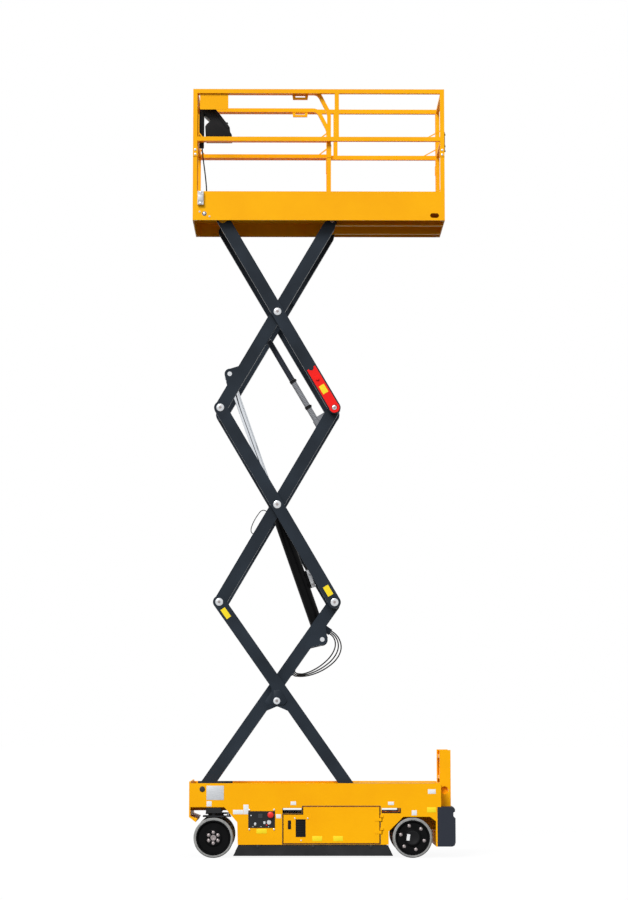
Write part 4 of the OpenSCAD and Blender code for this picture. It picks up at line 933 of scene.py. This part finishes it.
# Gate latch
# A black plastic latch rod with a round knob on the free stile of the entry gate, held
# by two small brackets on its outer face. It is lifted to open the gate.
gate_low, gate_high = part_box("entry_gate")
latch_x, latch_y = gate_high.x + 0.009, gate_low.y + 0.014
shape = bmesh.new()
add_turned(shape, (latch_x, latch_y, 6.270), (0, 0, 1), [(0.004, -0.016), (0.011, -0.012),
    (0.012, -0.004), (0.006, 0.002), (0.006, 0.165), (0.004, 0.168), (0, 0.168)], 20)
for z in (6.300, 6.405):
    add_block(shape, (gate_high.x, latch_y - 0.011, z), (latch_x + 0.010, latch_y + 0.011, z + 0.014),
        0.002)
make_piece("gate_latch", shape, black_abs, "gate")


# Control box
# A moulded black box on a post, its sloping face towards the operator, with a keypad,
# a short thumb lever and a red stop button in the recess at its front.
box_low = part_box("control_box")[0]
post_x, box_foot = box_low.x, box_low.z + 0.030
shape = bmesh.new()
outline = [(0.040, 0.281), (0.144, 0.281), (0.274, 0.110), (0.274, 0.072), (0.293, 0.041), (0.293, 0.0),
    (0.058, 0.0), (0.052, 0.119), (0.103, 0.177), (0.040, 0.235)]
ends = [[shape.verts.new((post_x + x, y, box_foot + z)) for x, z in outline] for y in (-0.288, -0.120)]
for end in ends:
    shape.faces.new(end)
for k in range(len(outline)):
    n = (k + 1) % len(outline)
    shape.faces.new((ends[0][k], ends[0][n], ends[1][n], ends[1][k]))
bmesh.ops.recalc_face_normals(shape, faces=shape.faces)
bmesh.ops.bevel(shape, geom=shape.edges[:], offset=0.006, segments=2, profile=0.6, affect="EDGES")
add_block(shape, (post_x, -0.292, box_foot), (post_x + 0.042, -0.200, box_foot + 0.285), 0.004)
add_block(shape, (post_x, -0.292, box_foot - 0.083), (post_x + 0.042, -0.262, box_foot + 0.001), 0.003)
# Side guard rib beside the sloping face
rib = [shape.verts.new((post_x + x, y, box_foot + z)) for y in (-0.294, -0.288)
    for x, z in ((0.150, 0.262), (0.268, 0.108), (0.252, 0.096), (0.134, 0.250))]
shape.faces.new(rib[:4])
shape.faces.new(rib[4:])
for k in range(4):
    n = (k + 1) % 4
    shape.faces.new((rib[k], rib[n], rib[4 + n], rib[4 + k]))
shell = make_piece("control_box_shell", shape, black_abs, "extension")
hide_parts("control_box")
slope_mid = Vector((post_x + 0.209, -0.195, box_foot + 0.1955))
slope_out = Vector((0.796, 0, 0.605))
slope_down = Vector((0.605, 0, -0.796))


def add_pad(shape, along, across, rise, edge):
    corners = []
    for lift in (0, rise):
        trim = edge if lift else 0
        a0, a1, c0, c1 = along[0] + trim, along[1] - trim, across[0] + trim, across[1] - trim
        corners.append([shape.verts.new(slope_mid + slope_down * a + Vector((0, c, 0))
            + slope_out * lift) for a, c in ((a0, c0), (a1, c0), (a1, c1), (a0, c1))])
    shape.faces.new(corners[1])
    for k in range(4):
        n = (k + 1) % 4
        shape.faces.new((corners[0][k], corners[0][n], corners[1][n], corners[1][k]))


shape = bmesh.new()
add_pad(shape, (-0.085, 0.085), (-0.080, 0.080), 0.002, 0.001)
make_piece("control_keypad_panel", shape, smoked_glass, "extension")
shape = bmesh.new()
for a in (-0.060, -0.025):
    for c in (-0.055, -0.020, 0.015):
        add_pad(shape, (a, a + 0.024), (c, c + 0.024), 0.0045, 0.002)
make_piece("control_keys", shape, pale_abs, "extension")
shape = bmesh.new()
add_turned(shape, slope_mid + slope_down * 0.045, slope_out, [(0.022, 0.001), (0.020, 0.005),
    (0.014, 0.008), (0.008, 0.010), (0.007, 0.012), (0.010, 0.013), (0.011, 0.017), (0.008, 0.020),
    (0, 0.021)])
make_piece("control_thumb_lever", shape, black_rubber, "extension")
shape = bmesh.new()
add_turned(shape, (post_x + 0.075, -0.195, box_foot + 0.146), (-0.75, 0, 0.66), [(0.010, 0),
    (0.010, 0.004), (0.019, 0.005), (0.021, 0.009), (0.019, 0.014), (0.010, 0.017), (0, 0.0175)])
make_piece("control_stop_button", shape, red_abs, "extension")


# Socket box
# A die-cast aluminium outlet box screwed to the near skirt, with a hinged lid and two
# bright screws. The casting is left bare: matt, pale and slightly cloudy.
coat(["socket_box"], cast_aluminium)
sock_low, sock_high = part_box("socket_box")
shape = bmesh.new()
add_block(shape, (sock_low.x + 0.004, sock_low.y - 0.006, sock_low.z + 0.030),
    (sock_high.x - 0.004, sock_low.y, sock_high.z - 0.030), 0.003)
add_turned(shape, (sock_low.x + 0.008, sock_low.y - 0.004, sock_high.z - 0.029), (1, 0, 0), [(0.004, 0),
    (0.005, 0.001), (0.005, 0.037), (0.004, 0.038)], 16)
make_piece("socket_lid", shape, cast_aluminium, "platform")
shape = bmesh.new()
for z in (sock_low.z + 0.014, sock_high.z - 0.014):
    add_turned(shape, ((sock_low.x + sock_high.x) / 2, sock_low.y, z), (0, -1, 0), [(0.010, 0),
        (0.010, 0.0015), (0.008, 0.005), (0.004, 0.0065), (0, 0.0065)], 20)
make_piece("socket_screws", shape, zinc_plate, "platform")
